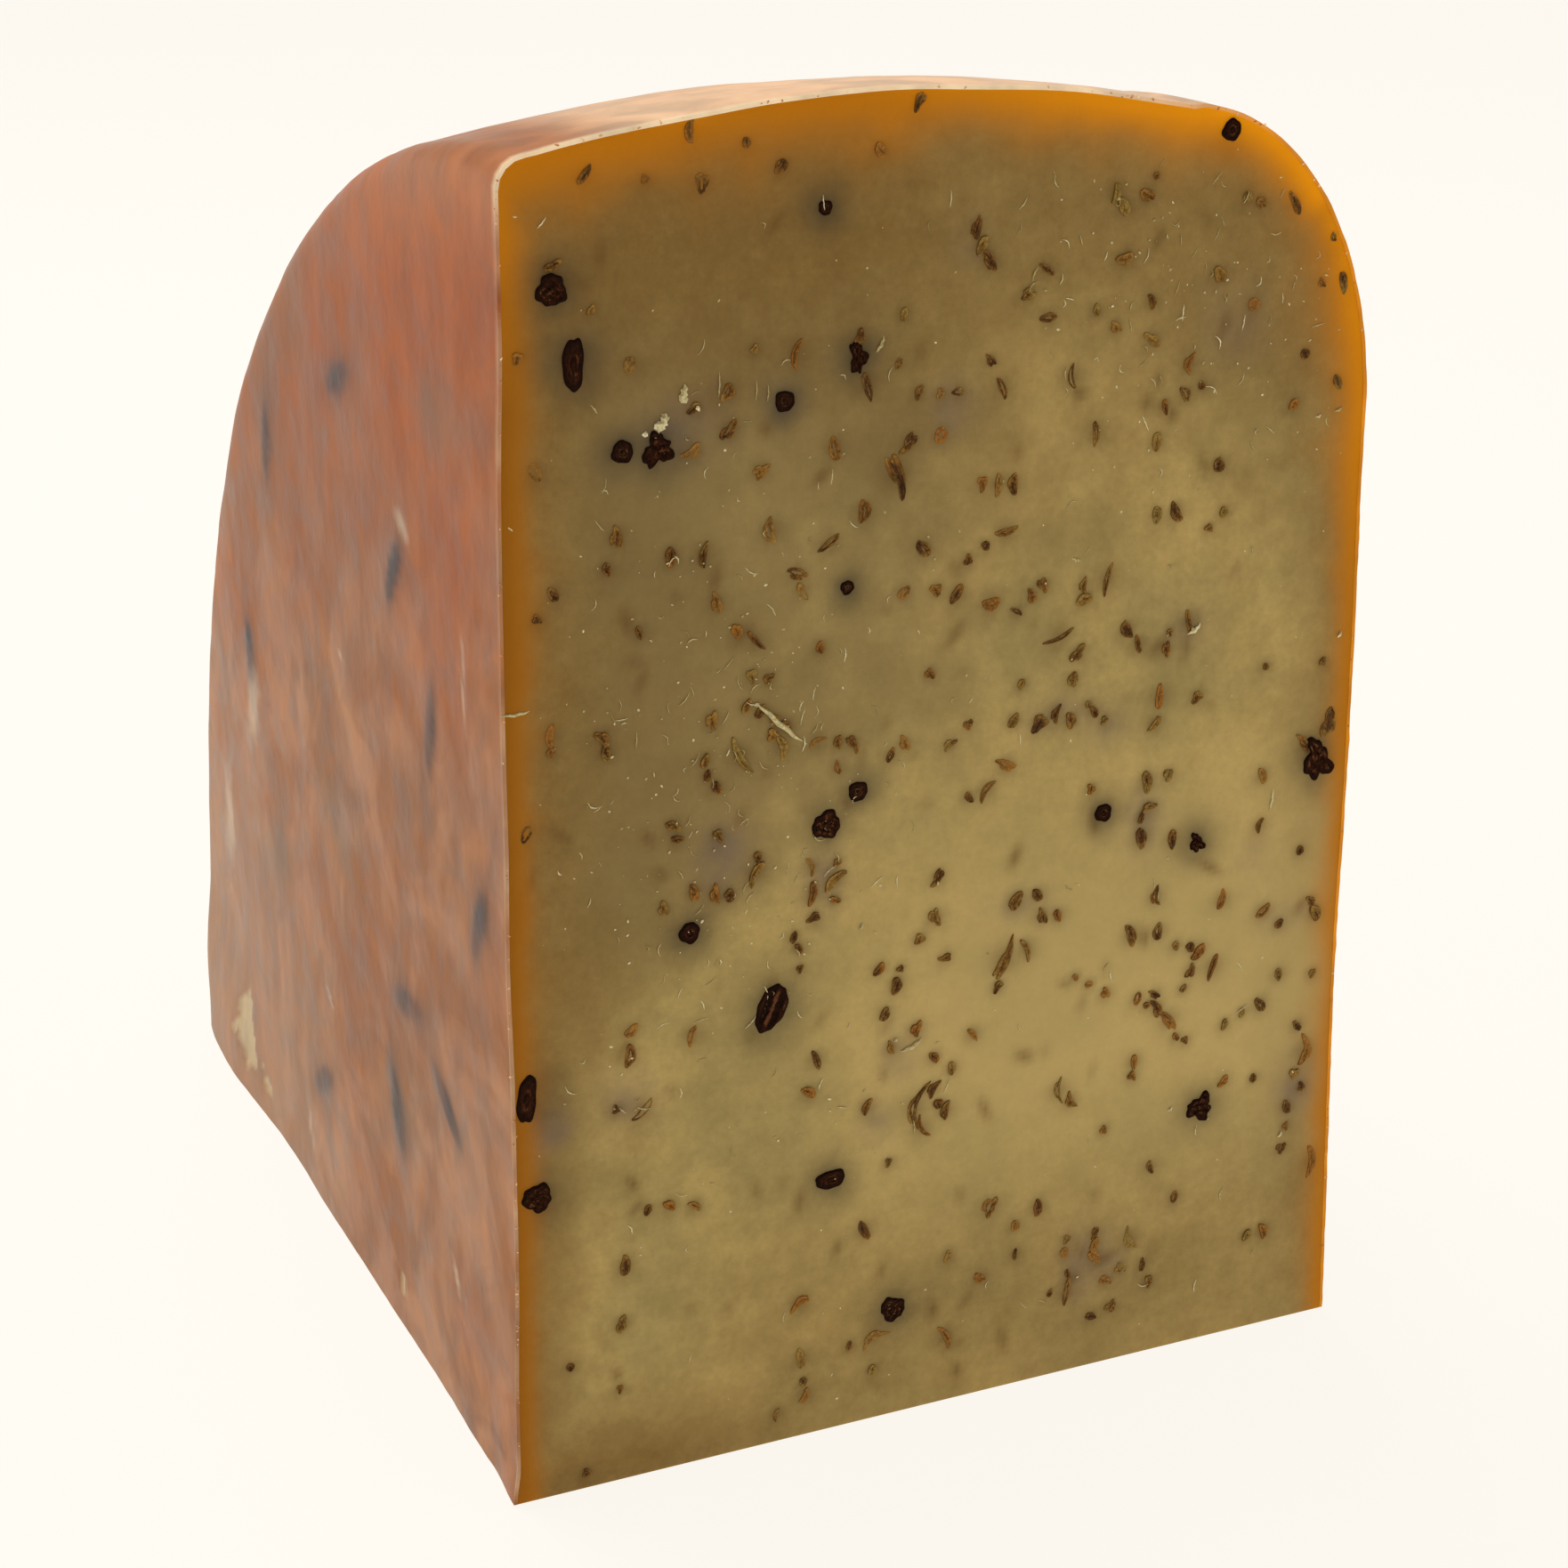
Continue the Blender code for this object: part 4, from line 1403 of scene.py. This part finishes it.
@dataclass
class Crumbs:
    """Loose bits on the front cut: crumbs and curls of paste, and flakes of the coating's edge."""

    block: Block
    flakes: int = 170
    loose: int = 520
    hairs: int = 260
    clear: float = 3.0 * MM          # between the crumbs and the rind

    # Lumps of paste rolled up by the knife: mm from the left side and from the base, and half size.
    LUMPS = ((18.8, 121.2, 0.62), (19.4, 122.0, 0.40), (21.4, 123.7, 0.48), (17.3, 120.5, 0.30),
             (23.1, 122.6, 0.26), (29.5, 90.1, 0.24), (82.9, 91.6, 0.30), (46.4, 48.1, 0.22))

    # The knife's larger curls: both ends in mm from the left side and from the base, then the bow
    # to the side, the width, the thickness and the lift where they aren't the usual ones.
    SHAVINGS = (
        ((29.4, 90.4), (34.7, 85.3), 0.12, 0.58, 0.20, 0.40), ((94.4, 68.2), (94.7, 71.0), 0.1, 0.3),
        ((82.1, 91.2), (83.8, 92.3), 0.3, 0.45), ((67.0, 101.8), (68.1, 101.4), 0.1, 0.4),
        ((47.0, 46.6), (49.7, 47.8), 0.3, 0.5), ((18.6, 121.0), (19.6, 122.4), 0.2, 0.95, 0.4),
        ((21.1, 123.5), (21.7, 125.2), 0.1, 0.8, 0.35), ((25.3, 123.6), (25.4, 126.2), 0.05, 0.14),
        ((29.4, 122.8), (29.5, 125.0), 0.05, 0.12), ((30.7, 122.6), (30.8, 124.4), 0.05, 0.12),
        ((100.0, 114.9), (101.0, 115.3), 0.1, 0.35), ((97.5, 114.5), (98.2, 114.7), 0.1, 0.3),
        ((102.3, 88.2), (102.8, 88.9), 0.1, 0.35), ((98.3, 25.3), (98.8, 26.0), 0.1, 0.35),
        ((82.5, 32.0), (83.1, 32.5), 0.1, 0.35), ((41.7, 62.4), (42.1, 63.1), 0.1, 0.35),
        ((0.9, 92.9), (4.2, 93.0), 0.15, 0.35), ((43.0, 126.6), (43.9, 128.2), 0.15, 0.4),
    )

    @staticmethod
    def drag_place(rng: random.Random) -> tuple[float, float]:
        """Choose where the knife left something: mostly left of the middle, or high on the right.

        Args:
            rng: chooses.

        Returns:
            Millimetres from the left side and from the base.
        """
        drag = rng.random()
        if drag < 0.45:
            return rng.gauss(25, 12), rng.gauss(82, 21)
        if drag < 0.70:
            return rng.gauss(83, 12), rng.gauss(129, 9)
        return rng.uniform(3, 103), rng.uniform(3, 145)

    @staticmethod
    def bit(centre: Vector, sizes: tuple[float, float, float], rng: random.Random) -> Shape:
        """Build one crumb: a lump with flat breaks.

        Args:
            centre: its middle.
            sizes: its half sizes in metres.
            rng: picks its shape.

        Returns:
            Its corners and faces.
        """
        shape = bmesh.new()
        bmesh.ops.create_icosphere(shape, subdivisions=1, radius=1)
        points = np.array([tuple(corner.co) for corner in shape.verts])
        faces = [[corner.index for corner in face.verts] for face in shape.faces]
        shape.free()
        points *= np.array([[rng.uniform(0.7, 1.25)] for _corner in points])
        turn = rng.uniform(0, math.pi)
        along, deep, aside = (points * np.array(sizes)).T
        across = along * math.cos(turn) - aside * math.sin(turn)
        up = along * math.sin(turn) + aside * math.cos(turn)
        return np.stack([across, deep, up], axis=1) + np.array(centre), faces

    @staticmethod
    def gather(name: str, parts: list[Shape], finish: "Finish", slot: str, seed: int) -> bpy.types.Object:
        """Make one piece from many small closed shapes.

        Args:
            name: the piece's name.
            parts: the shapes.
            finish: what they are made of.
            slot: the material slot.
            seed: picks their tones.

        Returns:
            The piece.
        """
        rng = random.Random(seed)
        piece = mesh_piece(name, *join_shapes(parts), smooth_shaded=False)
        paint(piece, "tone", np.concatenate([np.full(len(points), rng.random()) for points, _faces in parts]))
        piece.data.materials.append(finish.material())
        attach(piece, slot)
        return piece

    def build(self, paste: "Finish", coating: "Finish") -> list[bpy.types.Object]:
        """Build the crumbs, the curls and the flakes.

        Args:
            paste: the finish of crumbs and curls.
            coating: the finish of the flakes along the coating's edge.

        Returns:
            The pieces.
        """
        rng = random.Random(51)
        block, section = self.block, self.block.section
        curls = [Shaving(*row).build(block) for row in self.SHAVINGS]
        crumbs, hairs, flakes = [], [], []
        for _crumb in range(self.loose):
            across, up = self.drag_place(rng)
            if section.holds(across * MM, up * MM, self.clear):
                size = rng.uniform(0.04, 0.15) * MM
                sizes = (size * rng.uniform(1, 2), size * 0.5, size)
                crumbs.append(self.bit(block.on_front(across, up), sizes, rng))
        for across, up, half in self.LUMPS:
            size = half * MM
            crumbs.append(self.bit(block.on_front(across, up), (size * 1.3, size * 0.8, size), rng))
        for _hair in range(self.hairs):
            across, up = self.drag_place(rng)
            if section.holds(across * MM, up * MM, self.clear):
                turn, long = rng.gauss(0, 0.7), rng.uniform(0.5, 1.9)
                end = (across + long * math.sin(turn), up + long * math.cos(turn))
                hair = Shaving((across, up), end, rng.uniform(-0.4, 0.4), rng.uniform(0.07, 0.18), 0.05, 0.05)
                hairs.append(hair.build(block, 10))
        left, rim, right = (even_points(side, 400) for side in section.sides(0.2 * MM))
        for _flake in range(self.flakes):
            line = rng.choice((left, left, rim, rim, right))
            across, radius = line[rng.randrange(20, 400)]
            stray = Vector((rng.gauss(0, 0.08), 0, rng.gauss(0, 0.08))) * MM
            size = rng.uniform(0.08, 0.26) * MM
            edge = Vector(block.place(across, radius, 0.0)[0])
            flakes.append(self.bit(edge + stray, (size * 0.6, size * 0.8, size), rng))
        return [
            self.gather("knife_curls", curls, paste, "cheese_paste", 61),
            self.gather("knife_hairs", hairs, paste, "cheese_paste", 64),
            self.gather("loose_crumbs", crumbs, paste, "cheese_paste", 62),
            self.gather("coating_edge_flakes", flakes, coating, "rind_coating", 63),
        ]


# ---------------------------------------------------------------- finishes


@dataclass(frozen=True)
class Finish:
    """A material made once and then shared."""

    name: str

    def start(self) -> tuple[bpy.types.Material, bpy.types.NodeTree, bpy.types.Node, bpy.types.NodeSocket]:
        """Make an empty material.

        Returns:
            The material, its nodes, its shader and the coordinates of the object in metres.
        """
        material = bpy.data.materials.new(self.name)
        material.use_nodes = True
        tree = material.node_tree
        tree.nodes.clear()
        shader = add_node(tree, "ShaderNodeBsdfPrincipled")
        add_node(tree, "ShaderNodeOutputMaterial", inputs={"Surface": shader.outputs[0]})
        place = add_node(tree, "ShaderNodeTexCoord").outputs["Object"]
        return material, tree, shader, place

    def dress(self) -> bpy.types.Material:
        """Make the material; each finish has its own way."""
        raise NotImplementedError

    def material(self) -> bpy.types.Material:
        """Give the material, made at its first use."""
        return bpy.data.materials.get(self.name) or self.dress()


MIX = "ShaderNodeMix"
NOISE = "ShaderNodeTexNoise"
RAMP = "ShaderNodeMapRange"
MATH = "ShaderNodeMath"
MARK = "ShaderNodeAttribute"
BUMP = "ShaderNodeBump"
MAPPING = "ShaderNodeMapping"
COLOURS = {"data_type": "RGBA"}
SHADED = {"data_type": "RGBA", "blend_type": "MULTIPLY"}


def per(size_mm: float) -> float:
    """Give the texture scale for a pattern whose spots are this many millimetres wide."""
    return 1 / (size_mm * MM)


def colour_by_marks(tree: bpy.types.NodeTree, base: bpy.types.Node,
                    layers: tuple[tuple[str, str, float], ...]) -> bpy.types.Node:
    """Lay colours over a base colour, each where its mark was painted on the piece.

    Args:
        tree: the material's node tree.
        base: the mix node that gives the base colour.
        layers: for each colour its mark's name, its hex colour and its greatest share.

    Returns:
        The mix node that gives the finished colour.
    """
    for mark, colour, part in layers:
        here = add_node(tree, MARK, {"attribute_name": mark}).outputs["Fac"]
        share = add_node(tree, MATH, {"operation": "MULTIPLY", "use_clamp": True}, {0: here, 1: part})
        base = add_node(tree, MIX, COLOURS, {0: share.outputs[0], 6: base.outputs[2], 7: linear(colour)})
    return base


@dataclass(frozen=True)
class KnifeCutPaste(Finish):
    """Paste of a matured pressed cheese, cut with a knife.

    It is dull and slightly waxy, lets a little light in, and is clouded in olive and straw. The
    coating and brine have turned it amber along the rind, and clove oil has greyed it round the
    spices. A glow is painted under the rim, as if light shone through the rind; shade is painted
    round the spices and over seeds just under the cut; and the middle is painted paler, as if lit
    from the table below.
    """

    name: str = "matured_cheese_paste_knife_cut"
    straw: str = "#BFA363"
    olive: str = "#A38E57"
    brown: str = "#856735"
    # painted paler middle, as if lit from the table below
    pale: str = "#C8AD6E"
    grey: str = "#837149"
    amber: str = "#CA7A00"
    # painted glow of light shining through the rind
    glow: str = "#FFA000"
    deep: str = "#925A0E"
    stain: str = "#77655A"
    # painted shade round the spices
    painted_spice_shade: str = "#443C2E"
    # colour of the painted shade of buried seeds
    seed: str = "#62421A"

    def dress(self) -> bpy.types.Material:
        """Make the paste's material.

        Returns:
            The material.
        """
        material, tree, shader, place = self.start()
        # Soft clouds, the ragged edge of the dry parts, specks like fine sand, and tiny pits.
        clouds, grain, specks, pits = (
            add_node(tree, NOISE, inputs={
                "Vector": place, "Scale": per(size), "Detail": detail, "Roughness": rough,
            }).outputs["Fac"]
            for size, detail, rough in ((16, 4.0, 0.6), (4.0, 5.0, 0.7), (0.9, 4.0, 0.75), (0.7, 5.0, 0.65))
        )
        # Level lines where the knife stopped and went on, and short strokes where it dragged.
        lines, strokes = (
            add_node(tree, NOISE, inputs={
                "Vector": add_node(tree, MAPPING, inputs={
                    "Vector": place, "Rotation": (0.0, lean, 0.0), "Scale": (per(wide), per(wide), per(tall)),
                }).outputs[0],
                "Scale": 1.0, "Detail": detail,
            }).outputs["Fac"]
            for lean, wide, tall, detail in ((-0.04, 40, 1.7, 3.0), (0.35, 0.5, 9.0, 2.0))
        )
        cloud_share, speck_shade, line_shade, shine = (
            add_node(tree, RAMP, inputs={0: source, 1: low, 2: high, 3: least, 4: most}).outputs[0]
            for source, low, high, least, most in (
                (clouds, 0.36, 0.66, 0.0, 1.0), (specks, 0.30, 0.72, 0.90, 1.08),
                (lines, 0.3, 0.7, 0.98, 1.02), (pits, 0.3, 0.7, 0.50, 0.72),
            )
        )
        dry = add_node(tree, MARK, {"attribute_name": "drying"}).outputs["Fac"]
        ragged = add_node(tree, MATH, {"operation": "MULTIPLY_ADD"}, {0: grain, 1: 0.5, 2: -0.25}).outputs[0]
        dry_share = add_node(tree, MATH, {"operation": "ADD", "use_clamp": True}, {0: dry, 1: ragged})
        base = add_node(tree, MIX, COLOURS, {0: cloud_share, 6: linear(self.straw), 7: linear(self.olive)})
        base = add_node(tree, MIX, COLOURS, {
            0: dry_share.outputs[0], 6: base.outputs[2], 7: linear(self.brown),
        })
        for shade in (speck_shade, line_shade):
            base = add_node(tree, MIX, SHADED, {0: 1.0, 6: base.outputs[2], 7: shade})
        base = colour_by_marks(tree, base, (
            ("pale", self.pale, 0.62), ("grey", self.grey, 0.5), ("stain", self.stain, 0.8),
            ("painted_spice_shade", self.painted_spice_shade, 0.8), ("buried_seed_shade", self.seed, 0.7), ("amber", self.amber, 1.0),
            ("deep", self.deep, 0.9), ("glow", self.glow, 1.0),
        ))
        tree.links.new(base.outputs[2], shader.inputs["Base Color"])
        low = add_node(tree, BUMP, inputs={"Height": strokes, "Strength": 0.25, "Distance": 0.10 * MM})
        fine = add_node(tree, BUMP, inputs={
            "Height": pits, "Strength": 0.35, "Distance": 0.10 * MM, "Normal": low.outputs[0],
        })
        tree.links.new(fine.outputs[0], shader.inputs["Normal"])
        tree.links.new(shine, shader.inputs["Roughness"])
        shader.inputs["IOR"].default_value = 1.44
        shader.inputs["Specular IOR Level"].default_value = 0.09
        shader.inputs["Subsurface Weight"].default_value = 0.12
        shader.inputs["Subsurface Radius"].default_value = (1.0, 0.6, 0.25)
        shader.inputs["Subsurface Scale"].default_value = 1.5 * MM
        return material


@dataclass(frozen=True)
class BrushedCoating(Finish):
    """Plastic cheese coating, brushed on in coats and rubbed by storage boards.

    It has a soft eggshell shine and an even, faintly blotched pinkish orange. The cloves under it
    show as blue-grey shadows, and it is chipped to the paste in a few places. A highlight is
    painted along the rim and the front edge, and a glow along the cut edge on the right.
    """

    name: str = "cheese_coating_brushed"
    body: str = "#975E2D"
    pink: str = "#B27C55"
    golden: str = "#A85010"
    paler_low_back: str = "#B08868"
    veil: str = "#865430"
    # painted highlight along the top of the rim
    rim: str = "#FAD0A8"
    # painted glow of light through the coating's cut edge on the right
    edge: str = "#E8921C"
    clove: str = "#303036"
    chip: str = "#CDB48A"
    scuff: str = "#D2BBA0"
    smudge: str = "#7A6856"
    # pale torn edge, partly a painted highlight along the front edge
    torn_edge_and_highlight: str = "#FFE6BE"

    def dress(self) -> bpy.types.Material:
        """Make the coating's material.

        Returns:
            The material.
        """
        material, tree, shader, place = self.start()
        brushed = add_node(tree, MAPPING, inputs={
            "Vector": place, "Rotation": (0.35, 0.0, 0.0), "Scale": (1.0, 1.0, 0.42),
        }).outputs[0]
        # Pink blotches, darker patches, small mottling, short brush streaks and orange peel.
        blotch, patches, mottle, streaks, peel = (
            add_node(tree, NOISE, inputs={
                "Vector": along, "Scale": per(size), "Detail": detail, "Roughness": rough,
                "Distortion": swirl,
            }).outputs["Fac"]
            for along, size, detail, rough, swirl in (
                (place, 18, 3.0, 0.5, 0.8), (place, 10, 2.5, 0.5, 0.8), (place, 6.5, 3.0, 0.5, 0.5),
                (brushed, 4.2, 2.0, 0.45, 0.0), (place, 2.6, 2.0, 0.5, 0.0),
            )
        )
        uneven = add_node(tree, MATH, {"operation": "MULTIPLY_ADD"}, {
            0: streaks, 1: 0.30, 2: mottle,
        }).outputs[0]
        blotch_share, patch_share, tint, shine = (
            add_node(tree, RAMP, inputs={0: source, 1: low, 2: high, 3: least, 4: most}).outputs[0]
            for source, low, high, least, most in (
                (blotch, 0.40, 0.60, 0.0, 1.0), (patches, 0.50, 0.72, 0.0, 0.6),
                (uneven, 0.46, 0.84, 0.82, 1.18), (mottle, 0.3, 0.7, 0.30, 0.46),
            )
        )
        base = add_node(tree, MIX, COLOURS, {0: blotch_share, 6: linear(self.body), 7: linear(self.pink)})
        base = add_node(tree, MIX, COLOURS, {0: patch_share, 6: base.outputs[2], 7: linear(self.veil)})
        base = colour_by_marks(tree, base, (
            ("golden", self.golden, 0.85), ("darker_upper_back", self.veil, 0.6), ("paler_low_back", self.paler_low_back, 0.6),
            ("rim", self.rim, 0.95), ("smudge", self.smudge, 0.5), ("clove", self.clove, 0.95),
            ("scuff", self.scuff, 0.6), ("chip", self.chip, 0.95), ("torn_edge_and_highlight", self.torn_edge_and_highlight, 0.95),
            ("edge", self.edge, 0.95),
        ))
        base = add_node(tree, MIX, SHADED, {0: 1.0, 6: base.outputs[2], 7: tint})
        tree.links.new(base.outputs[2], shader.inputs["Base Color"])
        strokes = add_node(tree, BUMP, inputs={"Height": streaks, "Strength": 0.3, "Distance": 0.2 * MM})
        bump = add_node(tree, BUMP, inputs={
            "Height": peel, "Strength": 0.5, "Distance": 0.16 * MM, "Normal": strokes.outputs[0],
        })
        tree.links.new(bump.outputs[0], shader.inputs["Normal"])
        tree.links.new(shine, shader.inputs["Roughness"])
        shader.inputs["IOR"].default_value = 1.47
        shader.inputs["Specular IOR Level"].default_value = 0.10
        return material


@dataclass(frozen=True)
class ToneFinish(Finish):
    """A dry plant skin or crumb whose pieces run from a dark tone to a pale one."""

    dark: str
    middle: str
    pale: str
    warm: str                        # takes the pale tone's place on some of the pieces
    roughness: float
    grit: float                      # size of its fine spots, in mm
    specular: float = 0.3

    def dress(self) -> bpy.types.Material:
        """Make the material.

        Returns:
            The material.
        """
        material, tree, shader, place = self.start()
        tone, hue = (
            add_node(tree, MARK, {"attribute_name": mark}).outputs["Fac"] for mark in ("tone", "hue")
        )
        grit = add_node(tree, NOISE, inputs={
            "Vector": place, "Scale": per(self.grit), "Detail": 4.0, "Roughness": 0.7,
        }).outputs["Fac"]
        low, high, shade = (
            add_node(tree, RAMP, inputs={0: source, 1: first, 2: last, 3: least, 4: most}).outputs[0]
            for source, first, last, least, most in (
                (tone, 0.0, 0.45, 0.0, 1.0), (tone, 0.4, 0.9, 0.0, 1.0), (grit, 0.3, 0.7, 0.55, 1.5),
            )
        )
        flesh = add_node(tree, MIX, COLOURS, {0: hue, 6: linear(self.pale), 7: linear(self.warm)})
        base = add_node(tree, MIX, COLOURS, {0: low, 6: linear(self.dark), 7: linear(self.middle)})
        base = add_node(tree, MIX, COLOURS, {0: high, 6: base.outputs[2], 7: flesh.outputs[2]})
        base = add_node(tree, MIX, SHADED, {0: 1.0, 6: base.outputs[2], 7: shade})
        tree.links.new(base.outputs[2], shader.inputs["Base Color"])
        bump = add_node(tree, BUMP, inputs={"Height": grit, "Strength": 0.8, "Distance": 0.08 * MM})
        tree.links.new(bump.outputs[0], shader.inputs["Normal"])
        shader.inputs["Roughness"].default_value = self.roughness
        shader.inputs["Specular IOR Level"].default_value = self.specular
        return material


# Cut cloves are nearly black with brown flesh inside, cumin husks are dark with an olive or
# orange-brown kernel, crumbs of paste dry pale, and so do the flakes of the coating's torn edge.
CLOVE = ToneFinish(
    "dried_clove_cut", dark="#190C07", middle="#361B0D", pale="#7C5536", warm="#693C20",
    roughness=0.75, grit=0.30, specular=0.03,
)
HUSK = ToneFinish(
    "cumin_husk_cut", dark="#341C08", middle="#664316", pale="#8E7436", warm="#9A6222",
    roughness=0.6, grit=0.40, specular=0.10,
)
CRUMB = ToneFinish(
    "dried_cheese_crumb", dark="#A8965C", middle="#BFAE78", pale="#DDD0A4", warm="#DDD0A4",
    roughness=0.6, grit=0.3,
)
FLAKE = ToneFinish(
    "cheese_coating_torn_edge", dark="#B0682A", middle="#DDA468", pale="#F4D6A8", warm="#F4D6A8",
    roughness=0.5, grit=0.3,
)


# ---------------------------------------------------------------- studio


@dataclass(frozen=True)
class LitAcrylic(Finish):
    """A warm white acrylic table lit from below, so that hardly any shadow lies on it."""

    name: str = "opal_acrylic_backlit"
    white: str = "#FFFBF3"
    body: str = "#595754"
    glow: float = 0.925

    def dress(self) -> bpy.types.Material:
        """Make the table's material.

        Returns:
            The material.
        """
        material, _tree, shader, _place = self.start()
        shader.inputs["Base Color"].default_value = linear(self.body)
        shader.inputs["Roughness"].default_value = 0.9
        shader.inputs["Specular IOR Level"].default_value = 0.1
        shader.inputs["Emission Color"].default_value = linear(self.white)
        shader.inputs["Emission Strength"].default_value = self.glow
        return material


@dataclass
class Studio:
    """The table with its sweep, the soft lights and the camera."""

    block: Block

    # The camera circles the target at these angles, azimuth and elevation in degrees, and looks
    # along nearly the same ones, so that the block stands a little off the middle.
    lens: float = 70.75
    sensor: float = 36.0
    distance: float = 0.380
    orbit: tuple[float, float] = (24.316, 19.420)
    look: tuple[float, float] = (24.3896, 20.0867)
    target: tuple[float, float, float] = (-0.8 * MM, 45.0 * MM, 67.5 * MM)

    # The table is flat as far as its reach and then bends up.
    table_reach: float = 3.0
    sweep_bend: float = 0.65
    spokes: int = 96
    under: float = 0.22 * MM         # the table's gap under the base, for the spices that stand out

    # Each light's name, place in metres, width, power in watts and colour.
    LIGHTS = (
        ("overhead_softbox", (-0.15, 0.40, 1.05), 0.8, 8.0, "#FFF9F0"),
        ("left_softbox", (-1.10, -0.10, 0.75), 0.8, 1.2, "#FFF6EC"),
        ("front_fill", (0.45, -1.20, 0.60), 0.9, 1.1, "#FFFFFF"),
    )

    @staticmethod
    def heading(azimuth: float, elevation: float) -> Vector:
        """Give the direction that a camera at these angles, in degrees, looks along."""
        turn, rise = math.radians(azimuth), math.radians(elevation)
        return Vector((math.sin(turn) * math.cos(rise), math.cos(turn) * math.cos(rise), -math.sin(rise)))

    def build_table(self) -> None:
        """Build the round table, swept up all round so that every side has a pale background."""
        floor = self.block.low.z - self.under
        profile = [(0.0, 0.0), (self.table_reach, 0.0)]
        profile += [(self.table_reach + self.sweep_bend * math.sin(a), self.sweep_bend * (1 - math.cos(a)))
                    for a in np.linspace(0.08, math.pi / 2, 16)]
        points = [(reach * math.cos(turn), reach * math.sin(turn), floor + up)
                  for reach, up in profile for turn in np.linspace(0, 2 * math.pi, self.spokes + 1)]
        faces = grid_faces(len(profile), self.spokes + 1)
        table = mesh_piece("studio_table", np.array(points), faces, weld=0.1 * MM)
        table.data.materials.append(LitAcrylic().material())

    def light(self, name: str, place: tuple[float, float, float], size: float, power: float,
              colour: str) -> None:
        """Hang a soft light that faces the block.

        Args:
            name: its name.
            place: where it hangs, in metres.
            size: its width.
            power: its power in watts.
            colour: its colour.
        """
        lamp = bpy.data.lights.new(name, "AREA")
        lamp.shape = "DISK"
        lamp.size = size
        lamp.energy = power
        lamp.color = linear(colour)[:3]
        holder = bpy.data.objects.new(name, lamp)
        holder.location = place
        aim = Vector((0, 0, self.block.radius / 2)) - Vector(place)
        holder.rotation_euler = aim.to_track_quat("-Z", "Y").to_euler()
        bpy.context.scene.collection.objects.link(holder)

    def build(self) -> None:
        """Build the studio."""
        self.build_table()
        for light in self.LIGHTS:
            self.light(*light)
        world = bpy.data.worlds.new("pale_room")
        world.use_nodes = True
        backdrop = world.node_tree.nodes["Background"]
        backdrop.inputs["Color"].default_value = linear("#FFFBF5")
        backdrop.inputs["Strength"].default_value = 0.28
        scene = bpy.context.scene
        scene.world = world
        scene.view_settings.view_transform = "Standard"
        lens = bpy.data.cameras.new("studio_camera")
        lens.lens = self.lens
        lens.sensor_width = self.sensor
        lens.clip_start = 0.01
        camera = bpy.data.objects.new("studio_camera", lens)
        target = Vector(self.target) + Vector((0, self.block.low.y, 0))
        camera.location = target - self.heading(*self.orbit) * self.distance
        camera.rotation_euler = self.heading(*self.look).to_track_quat("-Z", "Y").to_euler()
        scene.collection.objects.link(camera)
        scene.camera = camera


# ---------------------------------------------------------------- all together


def dress_buried_cloves() -> None:
    """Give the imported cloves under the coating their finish; their own shapes stay."""
    for name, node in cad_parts.items():
        if name.startswith("clove_side"):
            for slot in node.material_slots:
                slot.material = CLOVE.material()


def main() -> None:
    """Build the block, its spices and the studio."""
    logging.basicConfig(level=logging.INFO, format="%(message)s")
    box_low, box_high = CAD_BOX
    block = Block(Vector(box_low), Vector(box_high))
    bed = SpiceBed(block)
    CheesePaste(block, bed).build(KnifeCutPaste())
    RindCoating(block).build(BrushedCoating())
    CutSpices(bed).build(CLOVE, HUSK)
    Crumbs(block).build(CRUMB, FLAKE)
    dress_buried_cloves()
    Studio(block).build()


if __name__ == "__main__":
    main()
